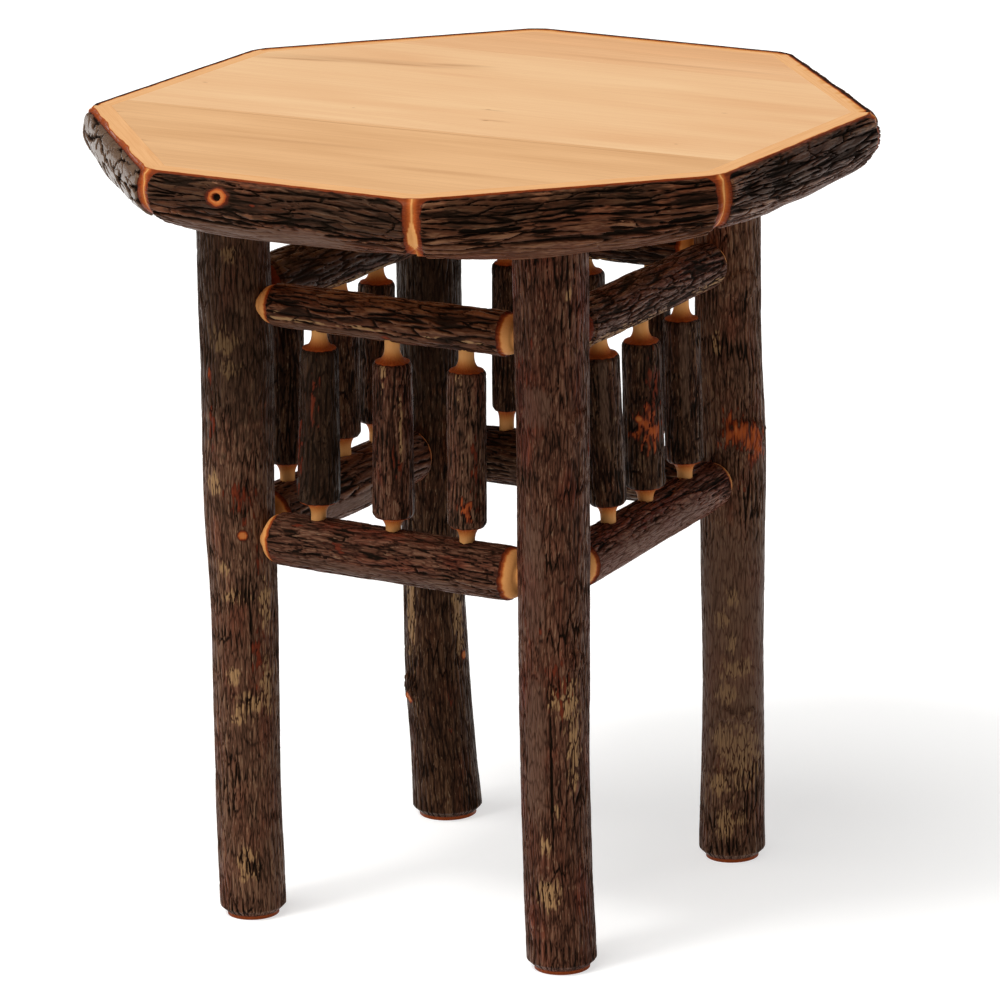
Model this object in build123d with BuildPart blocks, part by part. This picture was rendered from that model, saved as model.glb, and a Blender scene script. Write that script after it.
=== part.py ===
from build123d import *
from math import cos, radians, sin, sqrt, tan
import os

# Rustic side table: an octagonal board top edged with bark-on half logs, on four bark-on
# hickory poles tied together by rails and spindles with round tenons.
# Millimetres, +Z up, front of the table towards -Y, origin on the floor under the middle.

# ---------------------------------------------------------------- driving dimensions
table_height = 660.0
across_flats = 591.0          # octagon of pale wood, flat to flat

board_thickness = 25.0
flat_band = 17.0              # planed pale strip on top of each half log
glue_line = 0.2               # gap left at every glued flat joint
# widths of the boards at their left and right ends; the middle board takes up the rest
front_board_width = (186.5, 203.5)
back_board_width = (52.0, 47.0)
rear_strip_width = (33.5, 36.5)

edge_log_depth = 26.0         # half log from its sawn back face to its crown
edge_log_rise = 28.0          # half height of the log's oval section
edge_log_overrun = 1.15       # length of the rough log against its mitred length

leg_spacing = 290.0           # centre to centre
leg_diameter = 54.5
foot_chamfer_in = 5.5
foot_chamfer_up = 8.0
foot_peel = 2.5               # short straight end of the foot below its chamfer

upper_rail_drop = 141.0       # from the table's top down to the upper rails' axes
lower_rail_height = 324.0
upper_rail_diameter = 37.0
lower_rail_diameter = 43.0
rail_tenon_diameter = 22.0
rail_dome_length = 10.0       # peeled, rounded shoulder at each rail end
bark_step = 1.5               # thickness of the bark where it is cut back
mortise_wall = 1.5            # wood left between two tenons that meet inside a leg
tenon_end_gap = 1.0
tenon_clearance = 0.1         # glue film round every tenon
shoulder_gap = 0.8            # from a leg's bark to the foot of a rail's dome

spindles_per_side = 3
spindle_diameter = 31.0
spindle_neck_diameter = 12.5
spindle_flare_length = 10.5
spindle_rim = 1.5             # rounded shoulder between flare and bark
spindle_gap_below = 15.0      # bark end to the top of the lower rail
spindle_gap_above = 14.5      # bark end to the underside of the upper rail
spindle_tenon_length = 13.0

batten_width = 60.0
batten_thickness = 20.0
batten_end_gap = 3.0          # from a batten's corner to the half logs

lag_diameter = 8.0
lag_grip = 60.0               # length of screw inside the leg
lag_head_diameter = 14.0
lag_head_height = 5.5
lag_recess_depth = 7.0
lag_recess_diameter = 20.0

wood_screw_diameter = 4.2
wood_screw_bite = 17.0        # length of screw inside the board
wood_screw_head_diameter = 8.0
countersink_angle = 90.0
wood_screw_inset = 12.0       # from a batten's end to its outer screws
wood_screw_inner = 60.0       # from a batten's middle to its inner screws

dowel_diameter = 8.0
dowel_in_board = 18.0
dowel_in_log = 10.0
dowel_spread = 60.0           # from a side's middle to each dowel
fastener_clearance = 0.1

# Each pole bends in its own way. Stations run from the foot up:
# (share of the length, shift in x, shift in y, swelling of the radius).
legs = {
    "front_left": [(0, -2.5, -1.5, -0.5), (0.16, -3, -2, -0.5), (0.455, -0.5, -0.5, 0),
                   (0.59, -2, -1.5, 1.5), (0.73, 0, 0, 2), (1, 0.5, 0.5, 2)],
    "front_right": [(0, 2, 2, 0.8), (0.1, 0.5, 1.5, 0.3), (0.245, 0, 0.5, 0),
                    (0.49, 2.5, 1.5, 1), (0.715, 4.5, 3, 1.6), (1, 6, 4, 2.8)],
    "back_right": [(0, -14, 15.5, 0.5), (0.1, -11.5, 14.5, -0.8), (0.26, -9, 13, -2),
                   (0.44, -6, 11.5, -1), (0.56, -4, 11, 0.7), (0.7, -6, 10, -0.5),
                   (1, -5, 10.5, 0.3)],
    "back_left": [(0, 3, 3.5, 3), (0.073, 1, 2.5, 1), (0.195, -2, 0, 0),
                  (0.325, -2.5, -1, -1.5), (0.535, -1, -1, -0.5), (0.765, 1, 0.5, 0), (1, 1, 1, 0)],
}
leg_corner = {"front_left": (-1, -1), "front_right": (1, -1),
              "back_right": (1, 1), "back_left": (-1, 1)}

# Each rail: (leg at its start, leg at its end, lift at the start, lift at the end,
# swelling of its radius at the start, middle and end).
upper_rails = {
    "front": ("front_left", "front_right", 0.5, -1, -1, -1, -0.5),
    "right": ("front_right", "back_right", 1, 0.5, 0.5, 1.5, 0),
    "back": ("back_left", "back_right", 3, 4, -0.5, -0.5, 0),
    "left": ("front_left", "back_left", 5, -1, 4, 4, 1),
}
lower_rails = {
    "front": ("front_left", "front_right", 1, -1.5, 0, 0.5, 0),
    "right": ("front_right", "back_right", 0.5, 12, -1.5, -1.5, -2),
    "back": ("back_left", "back_right", 1.5, 1.5, 2, 3, 2),
    "left": ("front_left", "back_left", 3, 3, 3, 4, 2),
}

# Each spindle: (shift along the rails from its even place at the bottom, and at the top,
# lift of its bark, swelling of the radius at the bottom, and at the top).
spindles = {
    "front": [(1, 6.5, 0.5, 2, -0.3), (-1.5, 1, -3, 1.3, 0.2), (-6, -4, -2, 0, 0)],
    "right": [(15, 1.5, 1.5, 0, 0), (1.5, -3, -3, 1, 0.3), (-7, -7.5, -1, 0, -0.4)],
    "back": [(1.5, 5, 2.5, -3.5, -3.5), (8, 8, 2.5, 1, 1), (0, 0, 1.5, -0.5, -0.5)],
    "left": [(-3, 0, 1, 0, -0.3), (10, 8, 2, -1, -1), (-13, -7, 2.5, 0, 0)],
}

# The half logs, counter-clockwise from the right. Each: (change of depth, change of rise)
# at its right end, in its middle and at its left end, as seen from outside.
edge_logs = {
    "right": ((-4, -2.5), (0, 0.5), (-4, -1)),
    "back_right": ((-4, -1), (0.5, 1), (-4, -1)),
    "back": ((-4, -1), (0, 1), (-4, -1)),
    "back_left": ((-4, -1), (0.5, 0), (-4, -1)),
    "left": ((-4, -1), (0, 1), (-4, -1)),
    "front_left": ((-4, -3), (0, -1.5), (-4, -3)),
    "front": ((-4, 0), (0, 0.5), (-4, -2.5)),
    "front_right": ((-4, 0), (1, 3.5), (-4, 0)),
}

# ---------------------------------------------------------------- worked-out sizes
sides = len(edge_logs)
half_side_angle = 180.0 / sides
panel_apothem = across_flats / 2 - flat_band
board_underside = table_height - board_thickness
upper_rail_height = table_height - upper_rail_drop
leg_length = board_underside - batten_thickness
spindle_pitch = leg_spacing / (spindles_per_side + 1)
wood_screw_head_height = ((wood_screw_head_diameter - wood_screw_diameter) / 2
                          / tan(radians(countersink_angle / 2)))
batten_half_length = (panel_apothem - batten_end_gap) * sqrt(2) - (leg_spacing + batten_width) / 2

os.makedirs("parts", exist_ok=True)


def between(stations, place, column):
    """Straight-line value of a station table at a place along it."""
    for low, high in zip(stations, stations[1:]):
        if place <= high[0] or high is stations[-1]:
            share = (place - low[0]) / (high[0] - low[0])
            return low[column] + share * (high[column] - low[column])


def leg_centre(leg, height):
    """Centre of a pole at a height."""
    side_x, side_y = leg_corner[leg]
    share = height / leg_length
    return Vector(side_x * leg_spacing / 2 + between(legs[leg], share, 1),
                  side_y * leg_spacing / 2 + between(legs[leg], share, 2), height)


def leg_radius(leg, height):
    """Radius of a pole at a height."""
    return leg_diameter / 2 + between(legs[leg], height / leg_length, 3)


def rail_ends(rail, height):
    """The two points where a rail's axis meets the axes of its legs."""
    start, end, lift_start, lift_end = rail[:4]
    return leg_centre(start, height + lift_start), leg_centre(end, height + lift_end)


def rail_radius(rail, diameter, share):
    """Radius of a rail at a share of its length."""
    return diameter / 2 + between([(0, rail[4]), (0.5, rail[5]), (1, rail[6])], share, 1)


def spindle_share(side, number, at_top):
    """Place of a spindle's end as a share of the distance between its two legs."""
    return ((number + 1) * spindle_pitch + spindles[side][number][at_top]) / leg_spacing


def spindle_ends(side, number):
    """Points where a spindle's axis meets the axes of its lower and upper rails."""
    points = []
    for at_top, (rail, height) in enumerate(((lower_rails[side], lower_rail_height),
                                             (upper_rails[side], upper_rail_height))):
        start, end = rail_ends(rail, height)
        points.append(start + (end - start) * spindle_share(side, number, at_top))
    return points


def square_to(direction):
    """A direction at right angles to another."""
    helper = Vector(0, 0, 1) if abs(direction.Z) < 0.5 else Vector(1, 0, 0)
    return direction.cross(helper).normalized()


def leg_mortises(leg):
    """Bores for the rails of one pole: (plane outside the bark, depth of cut from there)."""
    bores = []
    for rails, height in ((upper_rails, upper_rail_height), (lower_rails, lower_rail_height)):
        for rail in rails.values():
            if leg in rail[:2]:
                start, end = rail_ends(rail, height)
                here, there = (start, end) if rail[0] == leg else (end, start)
                outward = (there - here).normalized()
                mouth = leg_diameter
                stop = rail_tenon_diameter / 2 + mortise_wall
                bores.append((Plane(here + outward * mouth, z_dir=-outward), mouth - stop))
    return bores


def make_leg(leg):
    """A bent pole with a chamfered foot, blind rail mortises and a pilot hole in its top."""
    outward = Vector(*leg_corner[leg], 0)
    with BuildPart() as pole:
        for share, _, _, swell in legs[leg]:
            level = leg_centre(leg, share * leg_length)
            level.Z = max(level.Z, foot_peel)
            with BuildSketch(Plane(level, x_dir=outward)):
                Circle(leg_diameter / 2 + swell)
        loft(ruled=True)
        sole = pole.faces().sort_by(Axis.Z)[0]
        chamfer(sole.edges(), foot_chamfer_in, foot_chamfer_up - foot_peel, reference=sole)
        with BuildSketch(Plane(leg_centre(leg, 0))):
            Circle(leg_radius(leg, 0) - foot_chamfer_in)
        extrude(amount=foot_peel)
        for mouth, depth in leg_mortises(leg):
            with BuildSketch(mouth):
                Circle(rail_tenon_diameter / 2 + tenon_clearance)
            extrude(amount=depth, mode=Mode.SUBTRACT)
        with BuildSketch(Plane(leg_centre(leg, leg_length))):
            Circle(lag_diameter / 2 + fastener_clearance)
        extrude(amount=-lag_grip - tenon_end_gap, mode=Mode.SUBTRACT)
    pole.part.label = f"leg_{leg}"
    export_step(pole.part, f"parts/leg_{leg}.step")


def make_rail(name, side, rails, rail_height, diameter):
    """A rail turned about its axis: tenon, domed shoulder, bark-on barrel, and the same again."""
    rail = rails[side]
    start, end = rail_ends(rail, rail_height)
    along = (end - start).normalized()
    length = (end - start).length
    tenon = rail_tenon_diameter / 2
    stop = tenon + mortise_wall + tenon_end_gap
    face_start = leg_radius(rail[0], start.Z) + shoulder_gap
    face_end = length - leg_radius(rail[1], end.Z) - shoulder_gap
    bark_start = face_start + rail_dome_length
    bark_end = face_end - rail_dome_length
    r_start, r_middle, r_end = (rail_radius(rail, diameter, share) for share in (0, 0.5, 1))
    upright = square_to(along).cross(along)
    with BuildPart() as barrel:
        with BuildSketch(Plane(start, x_dir=along, z_dir=upright)):
            with BuildLine():
                core = Polyline((face_start, tenon), (stop, tenon), (stop, 0),
                                (length - stop, 0), (length - stop, tenon), (face_end, tenon))
                EllipticalCenterArc((bark_end, tenon), rail_dome_length,
                                    r_end - bark_step - tenon, 0, arc_size=90)
                Line((bark_end, r_end - bark_step), (bark_end, r_end))
                Spline((bark_end, r_end), (length / 2, r_middle), (bark_start, r_start))
                Line((bark_start, r_start), (bark_start, r_start - bark_step))
                EllipticalCenterArc((bark_start, tenon), rail_dome_length,
                                    r_start - bark_step - tenon, 90, arc_size=90)
            make_face()
        revolve(axis=Axis(start, along))
        for number in range(spindles_per_side):
            foot, head = spindle_ends(side, number)
            is_upper = rails is upper_rails
            seat, up = (head, foot - head) if is_upper else (foot, head - foot)
            crown = rail_radius(rail, diameter, spindle_share(side, number, is_upper))
            up = up.normalized()
            floor = crown - spindle_tenon_length - tenon_end_gap
            with BuildSketch(Plane(seat + up * floor, z_dir=up)):
                Circle(spindle_neck_diameter / 2 + tenon_clearance)
            extrude(amount=diameter, mode=Mode.SUBTRACT)
    barrel.part.label = name
    export_step(barrel.part, f"parts/{name}.step")


def make_spindle(name, side, number):
    """A spindle turned at both ends: tenon, neck, trumpet flare and rounded rim, then bark."""
    foot, head = spindle_ends(side, number)
    along = (head - foot).normalized()
    length = (head - foot).length
    low_crown = rail_radius(lower_rails[side], lower_rail_diameter,
                            spindle_share(side, number, False))
    high_crown = length - rail_radius(upper_rails[side], upper_rail_diameter,
                                      spindle_share(side, number, True))
    neck = spindle_neck_diameter / 2
    lift, swell_low, swell_high = spindles[side][number][2:]
    bark_low, r_low = low_crown + spindle_gap_below + lift, spindle_diameter / 2 + swell_low
    bark_high, r_high = high_crown - spindle_gap_above + lift, spindle_diameter / 2 + swell_high
    stop_low, stop_high = low_crown - spindle_tenon_length, high_crown + spindle_tenon_length
    rim_low, rim_high = r_low - bark_step, r_high - bark_step
    with BuildPart() as turning:
        with BuildSketch(Plane(foot, x_dir=along, z_dir=square_to(along))):
            with BuildLine():
                neck_low = bark_low - spindle_rim - spindle_flare_length
                neck_high = bark_high + spindle_rim + spindle_flare_length
                Polyline((neck_low, neck), (stop_low, neck), (stop_low, 0), (stop_high, 0),
                         (stop_high, neck), (neck_high, neck))
                EllipticalCenterArc((neck_high, rim_high - spindle_rim), spindle_flare_length,
                                    rim_high - spindle_rim - neck, 180, arc_size=90)
                EllipticalCenterArc((bark_high, rim_high - spindle_rim), spindle_rim,
                                    spindle_rim, 0, arc_size=90)
                Polyline((bark_high, rim_high), (bark_high, r_high), (bark_low, r_low),
                         (bark_low, rim_low))
                EllipticalCenterArc((bark_low, rim_low - spindle_rim), spindle_rim,
                                    spindle_rim, 90, arc_size=90)
                EllipticalCenterArc((neck_low, rim_low - spindle_rim), spindle_flare_length,
                                    rim_low - spindle_rim - neck, 270, arc_size=90)
            make_face()
        revolve(axis=Axis(foot, along))
    turning.part.label = name
    export_step(turning.part, f"parts/{name}.step")


def facing(number):
    """Direction in radians that a half log faces, by its number from the right."""
    return radians(2 * half_side_angle * number)


def dowel_places():
    """Where each dowel crosses the panel's edge, with its outward direction."""
    places = []
    for number in range(sides):
        outward = Vector(cos(facing(number)), sin(facing(number)), 0)
        sideways = Vector(-outward.Y, outward.X, 0)
        level = Vector(0, 0, board_underside + board_thickness / 2)
        for spread in (-dowel_spread, dowel_spread):
            places.append((level + outward * panel_apothem + sideways * spread, outward))
    return places


def wood_screw_places():
    """Where each batten screw meets the underside of the boards."""
    outer = batten_half_length - wood_screw_inset
    return [Vector(x, y, board_underside) for x in (-leg_spacing / 2, leg_spacing / 2)
            for y in (-outer, -wood_screw_inner, wood_screw_inner, outer)]


def make_board(name, low_seam, high_seam):
    """One board of the octagonal panel, between two seams that need not be parallel."""
    reach = across_flats
    spread = reach / panel_apothem
    corners = []
    for (left, right), gap, way in ((low_seam, glue_line / 2, 1), (high_seam, -glue_line / 2, -1)):
        middle, lean = (left + right) / 2 + gap, (right - left) / 2 * spread
        corners += [(-way * reach, middle - way * lean), (way * reach, middle + way * lean)]
    with BuildPart() as board:
        with BuildSketch(Plane.XY.offset(board_underside)):
            RegularPolygon(panel_apothem - glue_line, sides, major_radius=False,
                           rotation=half_side_angle)
            with BuildLine():
                Polyline(*corners, close=True)
            make_face(mode=Mode.INTERSECT)
        extrude(amount=board_thickness)
        for place, outward in dowel_places():
            with BuildSketch(Plane(place - outward * (dowel_in_board + tenon_end_gap), z_dir=outward)):
                Circle(dowel_diameter / 2 + fastener_clearance)
            extrude(amount=dowel_in_board * 2, mode=Mode.SUBTRACT)
        for place in wood_screw_places():
            with BuildSketch(Plane(place)):
                Circle(wood_screw_diameter / 2 + fastener_clearance)
            extrude(amount=wood_screw_bite + tenon_end_gap, mode=Mode.SUBTRACT)
    board.part.label = name
    export_step(board.part, f"parts/{name}.step")


def make_edge_log(side, angle, swells):
    """A half log: oval sections lofted along its side, sawn flat behind, planed and mitred."""
    outward = Vector(cos(angle), sin(angle), 0)
    leftward = Vector(sin(angle), -cos(angle), 0)
    half_length = across_flats / 2 * tan(radians(half_side_angle)) * edge_log_overrun
    with BuildPart() as log:
        for place, (deeper, taller) in zip((-half_length, 0, half_length), swells):
            depth, rise = edge_log_depth + deeper, edge_log_rise + taller
            sink = rise * sqrt(1 - (flat_band / depth) ** 2)
            centre = outward * panel_apothem + leftward * place + Vector(0, 0, table_height - sink)
            with BuildSketch(Plane(centre, x_dir=outward, z_dir=leftward)):
                Ellipse(depth, rise)
        loft()
        split(bisect_by=Plane(outward * panel_apothem, z_dir=outward), keep=Keep.TOP)
        split(bisect_by=Plane.XY.offset(table_height), keep=Keep.BOTTOM)
        for turn in (-1, 1):
            mitre = angle + turn * radians(half_side_angle)
            inward = Vector(turn * sin(mitre), -turn * cos(mitre), 0)
            split(bisect_by=Plane(inward * (glue_line / 2), z_dir=inward), keep=Keep.TOP)
        for place, direction in dowel_places():
            with BuildSketch(Plane(place - direction * dowel_in_log, z_dir=direction)):
                Circle(dowel_diameter / 2 + fastener_clearance)
            extrude(amount=dowel_in_log * 2 + tenon_end_gap, mode=Mode.SUBTRACT)
    log.part.label = f"edge_log_{side}"
    export_step(log.part, f"parts/edge_log_{side}.step")


def make_dowels():
    """Plain hardwood pins that hold the half logs to the panel."""
    with BuildPart() as pins:
        for place, outward in dowel_places():
            with BuildSketch(Plane(place - outward * dowel_in_board, z_dir=outward)):
                Circle(dowel_diameter / 2)
            extrude(amount=dowel_in_board + dowel_in_log)
    pins.part.label = "edge_dowels"
    export_step(pins.part, "parts/edge_dowels.step")


def make_batten(side, way):
    """A cross batten under the boards, recessed for its lag screws and countersunk below."""
    with BuildPart() as batten:
        with BuildSketch(Plane((way * leg_spacing / 2, 0, leg_length))):
            Rectangle(batten_width, batten_half_length * 2)
        extrude(amount=batten_thickness - glue_line)
        tops = [leg_centre(leg, leg_length) for leg in legs if leg_corner[leg][0] == way]
        with Locations(*[(top.X, top.Y, board_underside - glue_line) for top in tops]):
            CounterBoreHole(lag_diameter / 2 + fastener_clearance, lag_recess_diameter / 2,
                            lag_recess_depth)
        places = [place for place in wood_screw_places() if place.X * way > 0]
        with Locations(*[Plane((place.X, place.Y, leg_length), z_dir=(0, 0, -1)) for place in places]):
            CounterSinkHole(wood_screw_diameter / 2 + fastener_clearance,
                            wood_screw_head_diameter / 2 + fastener_clearance,
                            counter_sink_angle=countersink_angle)
    batten.part.label = f"batten_{side}"
    export_step(batten.part, f"parts/batten_{side}.step")


def make_batten_screws():
    """Countersunk wood screws, driven up through the battens into the boards."""
    with BuildPart() as screws:
        for place in wood_screw_places():
            low = Plane((place.X, place.Y, leg_length))
            with BuildSketch(low):
                Circle(wood_screw_diameter / 2)
            extrude(amount=batten_thickness + wood_screw_bite)
            with Locations(low):
                Cone(wood_screw_head_diameter / 2, wood_screw_diameter / 2, wood_screw_head_height,
                     align=(Align.CENTER, Align.CENTER, Align.MIN))
    screws.part.label = "batten_screws"
    export_step(screws.part, "parts/batten_screws.step")


def make_lag_screws():
    """Hexagon-headed lag screws, down through the battens into the tops of the poles."""
    with BuildPart() as screws:
        for leg in legs:
            top = leg_centre(leg, leg_length)
            seat = Plane((top.X, top.Y, board_underside - glue_line - lag_recess_depth))
            with BuildSketch(seat):
                RegularPolygon(lag_head_diameter / 2, 6)
            extrude(amount=lag_head_height)
            with BuildSketch(seat):
                Circle(lag_diameter / 2)
            extrude(amount=-(batten_thickness - glue_line - lag_recess_depth + lag_grip))
            chamfer(screws.edges().group_by(Axis.Z)[0], lag_diameter / 4)
    screws.part.label = "leg_lag_screws"
    export_step(screws.part, "parts/leg_lag_screws.step")


board_names = ["front", "middle", "back", "rear_strip"]
front_seam = [width - panel_apothem for width in front_board_width]
rear_seam = [panel_apothem - width for width in rear_strip_width]
back_seam = [rear - width for rear, width in zip(rear_seam, back_board_width)]
seam_lines = [(-across_flats,) * 2, front_seam, back_seam, rear_seam, (across_flats,) * 2]
for name, low_seam, high_seam in zip(board_names, seam_lines, seam_lines[1:]):
    make_board(f"top_board_{name}", low_seam, high_seam)
for number, (side, swells) in enumerate(edge_logs.items()):
    make_edge_log(side, facing(number), swells)
make_dowels()
for side, way in (("left", -1), ("right", 1)):
    make_batten(side, way)
make_batten_screws()
make_lag_screws()
for leg in legs:
    make_leg(leg)
for side in upper_rails:
    make_rail(f"upper_rail_{side}", side, upper_rails, upper_rail_height, upper_rail_diameter)
    make_rail(f"lower_rail_{side}", side, lower_rails, lower_rail_height, lower_rail_diameter)
    for number in range(spindles_per_side):
        make_spindle(f"spindle_{side}_{number + 1}", side, number)
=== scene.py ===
from math import cos, pi, radians, sin, tan

import bpy
import numpy as np
from mathutils import Matrix, Vector


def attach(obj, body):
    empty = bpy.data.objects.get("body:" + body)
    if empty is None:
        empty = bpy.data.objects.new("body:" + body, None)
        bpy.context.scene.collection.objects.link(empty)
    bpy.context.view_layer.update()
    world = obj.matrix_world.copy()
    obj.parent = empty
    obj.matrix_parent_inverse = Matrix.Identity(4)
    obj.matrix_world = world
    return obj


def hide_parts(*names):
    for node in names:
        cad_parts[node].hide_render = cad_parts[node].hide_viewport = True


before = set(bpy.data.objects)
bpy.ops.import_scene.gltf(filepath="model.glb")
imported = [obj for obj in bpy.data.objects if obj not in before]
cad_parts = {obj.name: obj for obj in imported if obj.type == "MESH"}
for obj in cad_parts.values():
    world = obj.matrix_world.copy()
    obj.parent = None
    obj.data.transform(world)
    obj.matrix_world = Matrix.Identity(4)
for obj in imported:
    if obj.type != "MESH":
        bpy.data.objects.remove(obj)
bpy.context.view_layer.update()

# ---------------------------------------------------------------- camera
# A long lens 5.5 m away looks down on the table past its front right pole. It is turned by its yaw,
# tipped by its pitch, and then rolled about its line of sight.
camera_place = Vector((2.8031, -4.4891, 1.8208))
camera_yaw, camera_pitch, camera_roll = radians(-31.883), radians(15.701), radians(-1.525)
camera_focal_length, camera_sensor_width = 242.31, 36       # in mm, as a lens is marked

ahead = Vector((sin(camera_yaw) * cos(camera_pitch), cos(camera_yaw) * cos(camera_pitch), -sin(camera_pitch)))
level_right = Vector((cos(camera_yaw), -sin(camera_yaw), 0))
level_up = level_right.cross(ahead)
camera_right = level_right * cos(camera_roll) + level_up * sin(camera_roll)
camera_up = level_up * cos(camera_roll) - level_right * sin(camera_roll)
camera = bpy.data.objects.new("camera", bpy.data.cameras.new("camera"))
camera.data.lens = camera_focal_length
camera.data.sensor_width = camera_sensor_width
camera.matrix_world = Matrix((camera_right, camera_up, -ahead)).transposed().to_4x4()
camera.location = camera_place
bpy.context.collection.objects.link(camera)
bpy.context.scene.camera = camera

# ---------------------------------------------------------------- studio
# A pale floor of opal acrylic, faintly lit from beneath so that shadows stay soft and light, and a
# pale surround. Two far lamps hang overhead, and soft boxes stand to the left, in front and behind.
floor_size = 40.0
table_middle = Vector((0, 0, 0.4))


def linear(hex_colour, alpha=1.0):
    """Linear colour of an sRGB hex value: a channel c is c / 12.92 when it is small, and
    ((c + 0.055) / 1.055) ^ 2.4 otherwise."""
    channels = np.array([int(hex_colour[i:i + 2], 16) for i in (1, 3, 5)]) / 255
    lit = np.where(channels <= 0.04045, channels / 12.92, ((channels + 0.055) / 1.055) ** 2.4)
    return (*lit, alpha)


def new_material(name):
    """An empty node material and its output node."""
    material = bpy.data.materials.new(name)
    material.use_nodes = True
    material.node_tree.nodes.clear()
    return material, material.node_tree.nodes.new("ShaderNodeOutputMaterial")


def node(material, kind, settings=None, *values, **named_values):
    """Adds a node, gives it its settings, and fills its live sockets: the values in order, and the
    named ones by the socket's name with _ for a space. A value may be a socket, or a node, which
    stands for its first live output."""
    made = material.node_tree.nodes.new("ShaderNode" + kind)
    for key, value in (settings or {}).items():
        setattr(made, key, value)
    live = [socket for socket in made.inputs if socket.enabled]
    by_name = {socket.name.replace(" ", "_"): socket for socket in live}
    fillings = [*zip(live, values), *((by_name[key], value) for key, value in named_values.items())]
    for socket, value in fillings:
        if isinstance(value, bpy.types.Node):
            value = next(output for output in value.outputs if output.enabled)
        if isinstance(value, bpy.types.NodeSocket):
            material.node_tree.links.new(value, socket)
        else:
            socket.default_value = value
    return made


def opal_acrylic():
    """Opal acrylic sheet, lit from beneath: it glows evenly, with no gloss and only soft shadows."""
    material, output = new_material("opal_acrylic_floor")
    shader = node(material, "BsdfPrincipled", Base_Color=linear("#BDBCBA"), Roughness=0.9,
                  Emission_Color=linear("#FFFFFF"), Emission_Strength=0.62)
    material.node_tree.links.new(shader.outputs[0], output.inputs[0])
    return material


def add_lamp(name, kind, place, aim, **settings):
    """A lamp at a place, turned so that its light goes towards its aim."""
    lamp = bpy.data.lights.new(name, kind)
    for key, value in settings.items():
        setattr(lamp, key, value)
    holder = bpy.data.objects.new(name, lamp)
    holder.location = place
    holder.rotation_euler = (aim - place).to_track_quat("-Z", "Y").to_euler()
    bpy.context.collection.objects.link(holder)


bpy.ops.mesh.primitive_plane_add(size=floor_size)
floor = bpy.context.object
floor.name = "floor"
floor.data.materials.append(opal_acrylic())

world = bpy.data.worlds.new("studio_surround")
bpy.context.scene.world = world
world.use_nodes = True
world.node_tree.nodes["Background"].inputs["Color"].default_value = linear("#FFFFFF")
world.node_tree.nodes["Background"].inputs["Strength"].default_value = 0.12
bpy.context.scene.view_settings.view_transform = "Standard"

# The broad far lamp lights evenly, as a wall of diffusers does, and the narrow one makes the glints
# on the lacquer. A far lamp shines along a direction wherever it stands.
add_lamp("diffused_key", "SUN", Vector(), Vector((0.26, 0.62, -1.3)), energy=2.75, angle=radians(50))
add_lamp("glint_key", "SUN", Vector(), Vector((0.3, 0.75, -1.4)), energy=1.0, angle=radians(10))
add_lamp("left_softbox", "AREA", Vector((-3.2, -1.6, 1.8)), table_middle, energy=12, size=1.6)
add_lamp("front_softbox", "AREA", Vector((1.2, -4.4, 2.6)), table_middle, energy=6, size=1.2)
add_lamp("back_softbox", "AREA", Vector((1.9, 3.4, 2.2)), table_middle, energy=12, size=1.6)

# ---------------------------------------------------------------- top boards
# Four edge-glued pine boards, planed flat and finished with clear satin lacquer. The grain runs from
# left to right, and each board has its own tone.
mm = 0.001
grain_line_width, grain_line_length = 1.6 * mm, 120 * mm
pore_width, pore_length = 0.5 * mm, 9 * mm      # drawn coarser than they are, so that they show
cathedral_width, cathedral_length = 34 * mm, 260 * mm
grain_bend = 9 * mm             # how far the broad figure bends the fine lines
smudge_depth = 100              # in metres, so that a smudge goes right through its board
smudge_colour = "#A8703F"
# settings of the nodes that lay one colour over another, and that add and multiply
colour_mix, add = {"data_type": "RGBA"}, {"operation": "ADD"}
multiply, multiply_add = {"operation": "MULTIPLY"}, {"operation": "MULTIPLY_ADD"}
# Each board: light tone, grain tone, shift of its grain in metres, waviness; and its smudges, as x, y,
# half length, half width in mm, tilt in degrees and strength: a mineral streak, pin knots and their
# tails, short checks, and the shade along a seam.
boards = {
    "top_board_front": ("#EEBC87", "#DAA570", 0.11, 1.0,
                        ((0, -85, 330, 1.6, 1.75, 0.5), (-262, -128, 7, 1.1, 10, 0.7),
                         (-184, -205, 8, 1.1, -14, 0.6), (-60, -160, 90, 5, 3, 0.25),
                         (90, -200, 70, 6, 2, 0.25))),
    "top_board_middle": ("#F4C896", "#E8B380", 0.23, 0.45,
                         ((-190, 118, 112, 12, 8, 0.35), (-232, 104, 50, 4, 10, 0.55),
                          (-150, 121, 60, 3.5, 8, 0.55), (-108, 136, 36, 6, 12, 0.45),
                          (-259, -6, 3, 1.2, 0, 0.8), (-94, -37, 2, 1, 0, 0.7), (9, 3, 3.5, 1.3, 0, 0.8),
                          (14, 2, 14, 2, 0, 0.3), (28, -33, 4, 1.6, 8, 0.9), (34, -31, 16, 2.5, 0, 0.35),
                          (188, 72, 3, 1.1, 0, 0.6), (209, -42, 2.2, 1.1, 0, 0.8),
                          (58, -85, 3.5, 1.2, 0, 0.8))),
    "top_board_back": ("#F3C291", "#E2AB77", 0.37, 0.5, ((60, 214, 120, 4, 2, 0.25),)),
    "top_board_rear_strip": ("#EDB682", "#D9A26F", 0.41, 0.6, ()),
}


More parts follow.
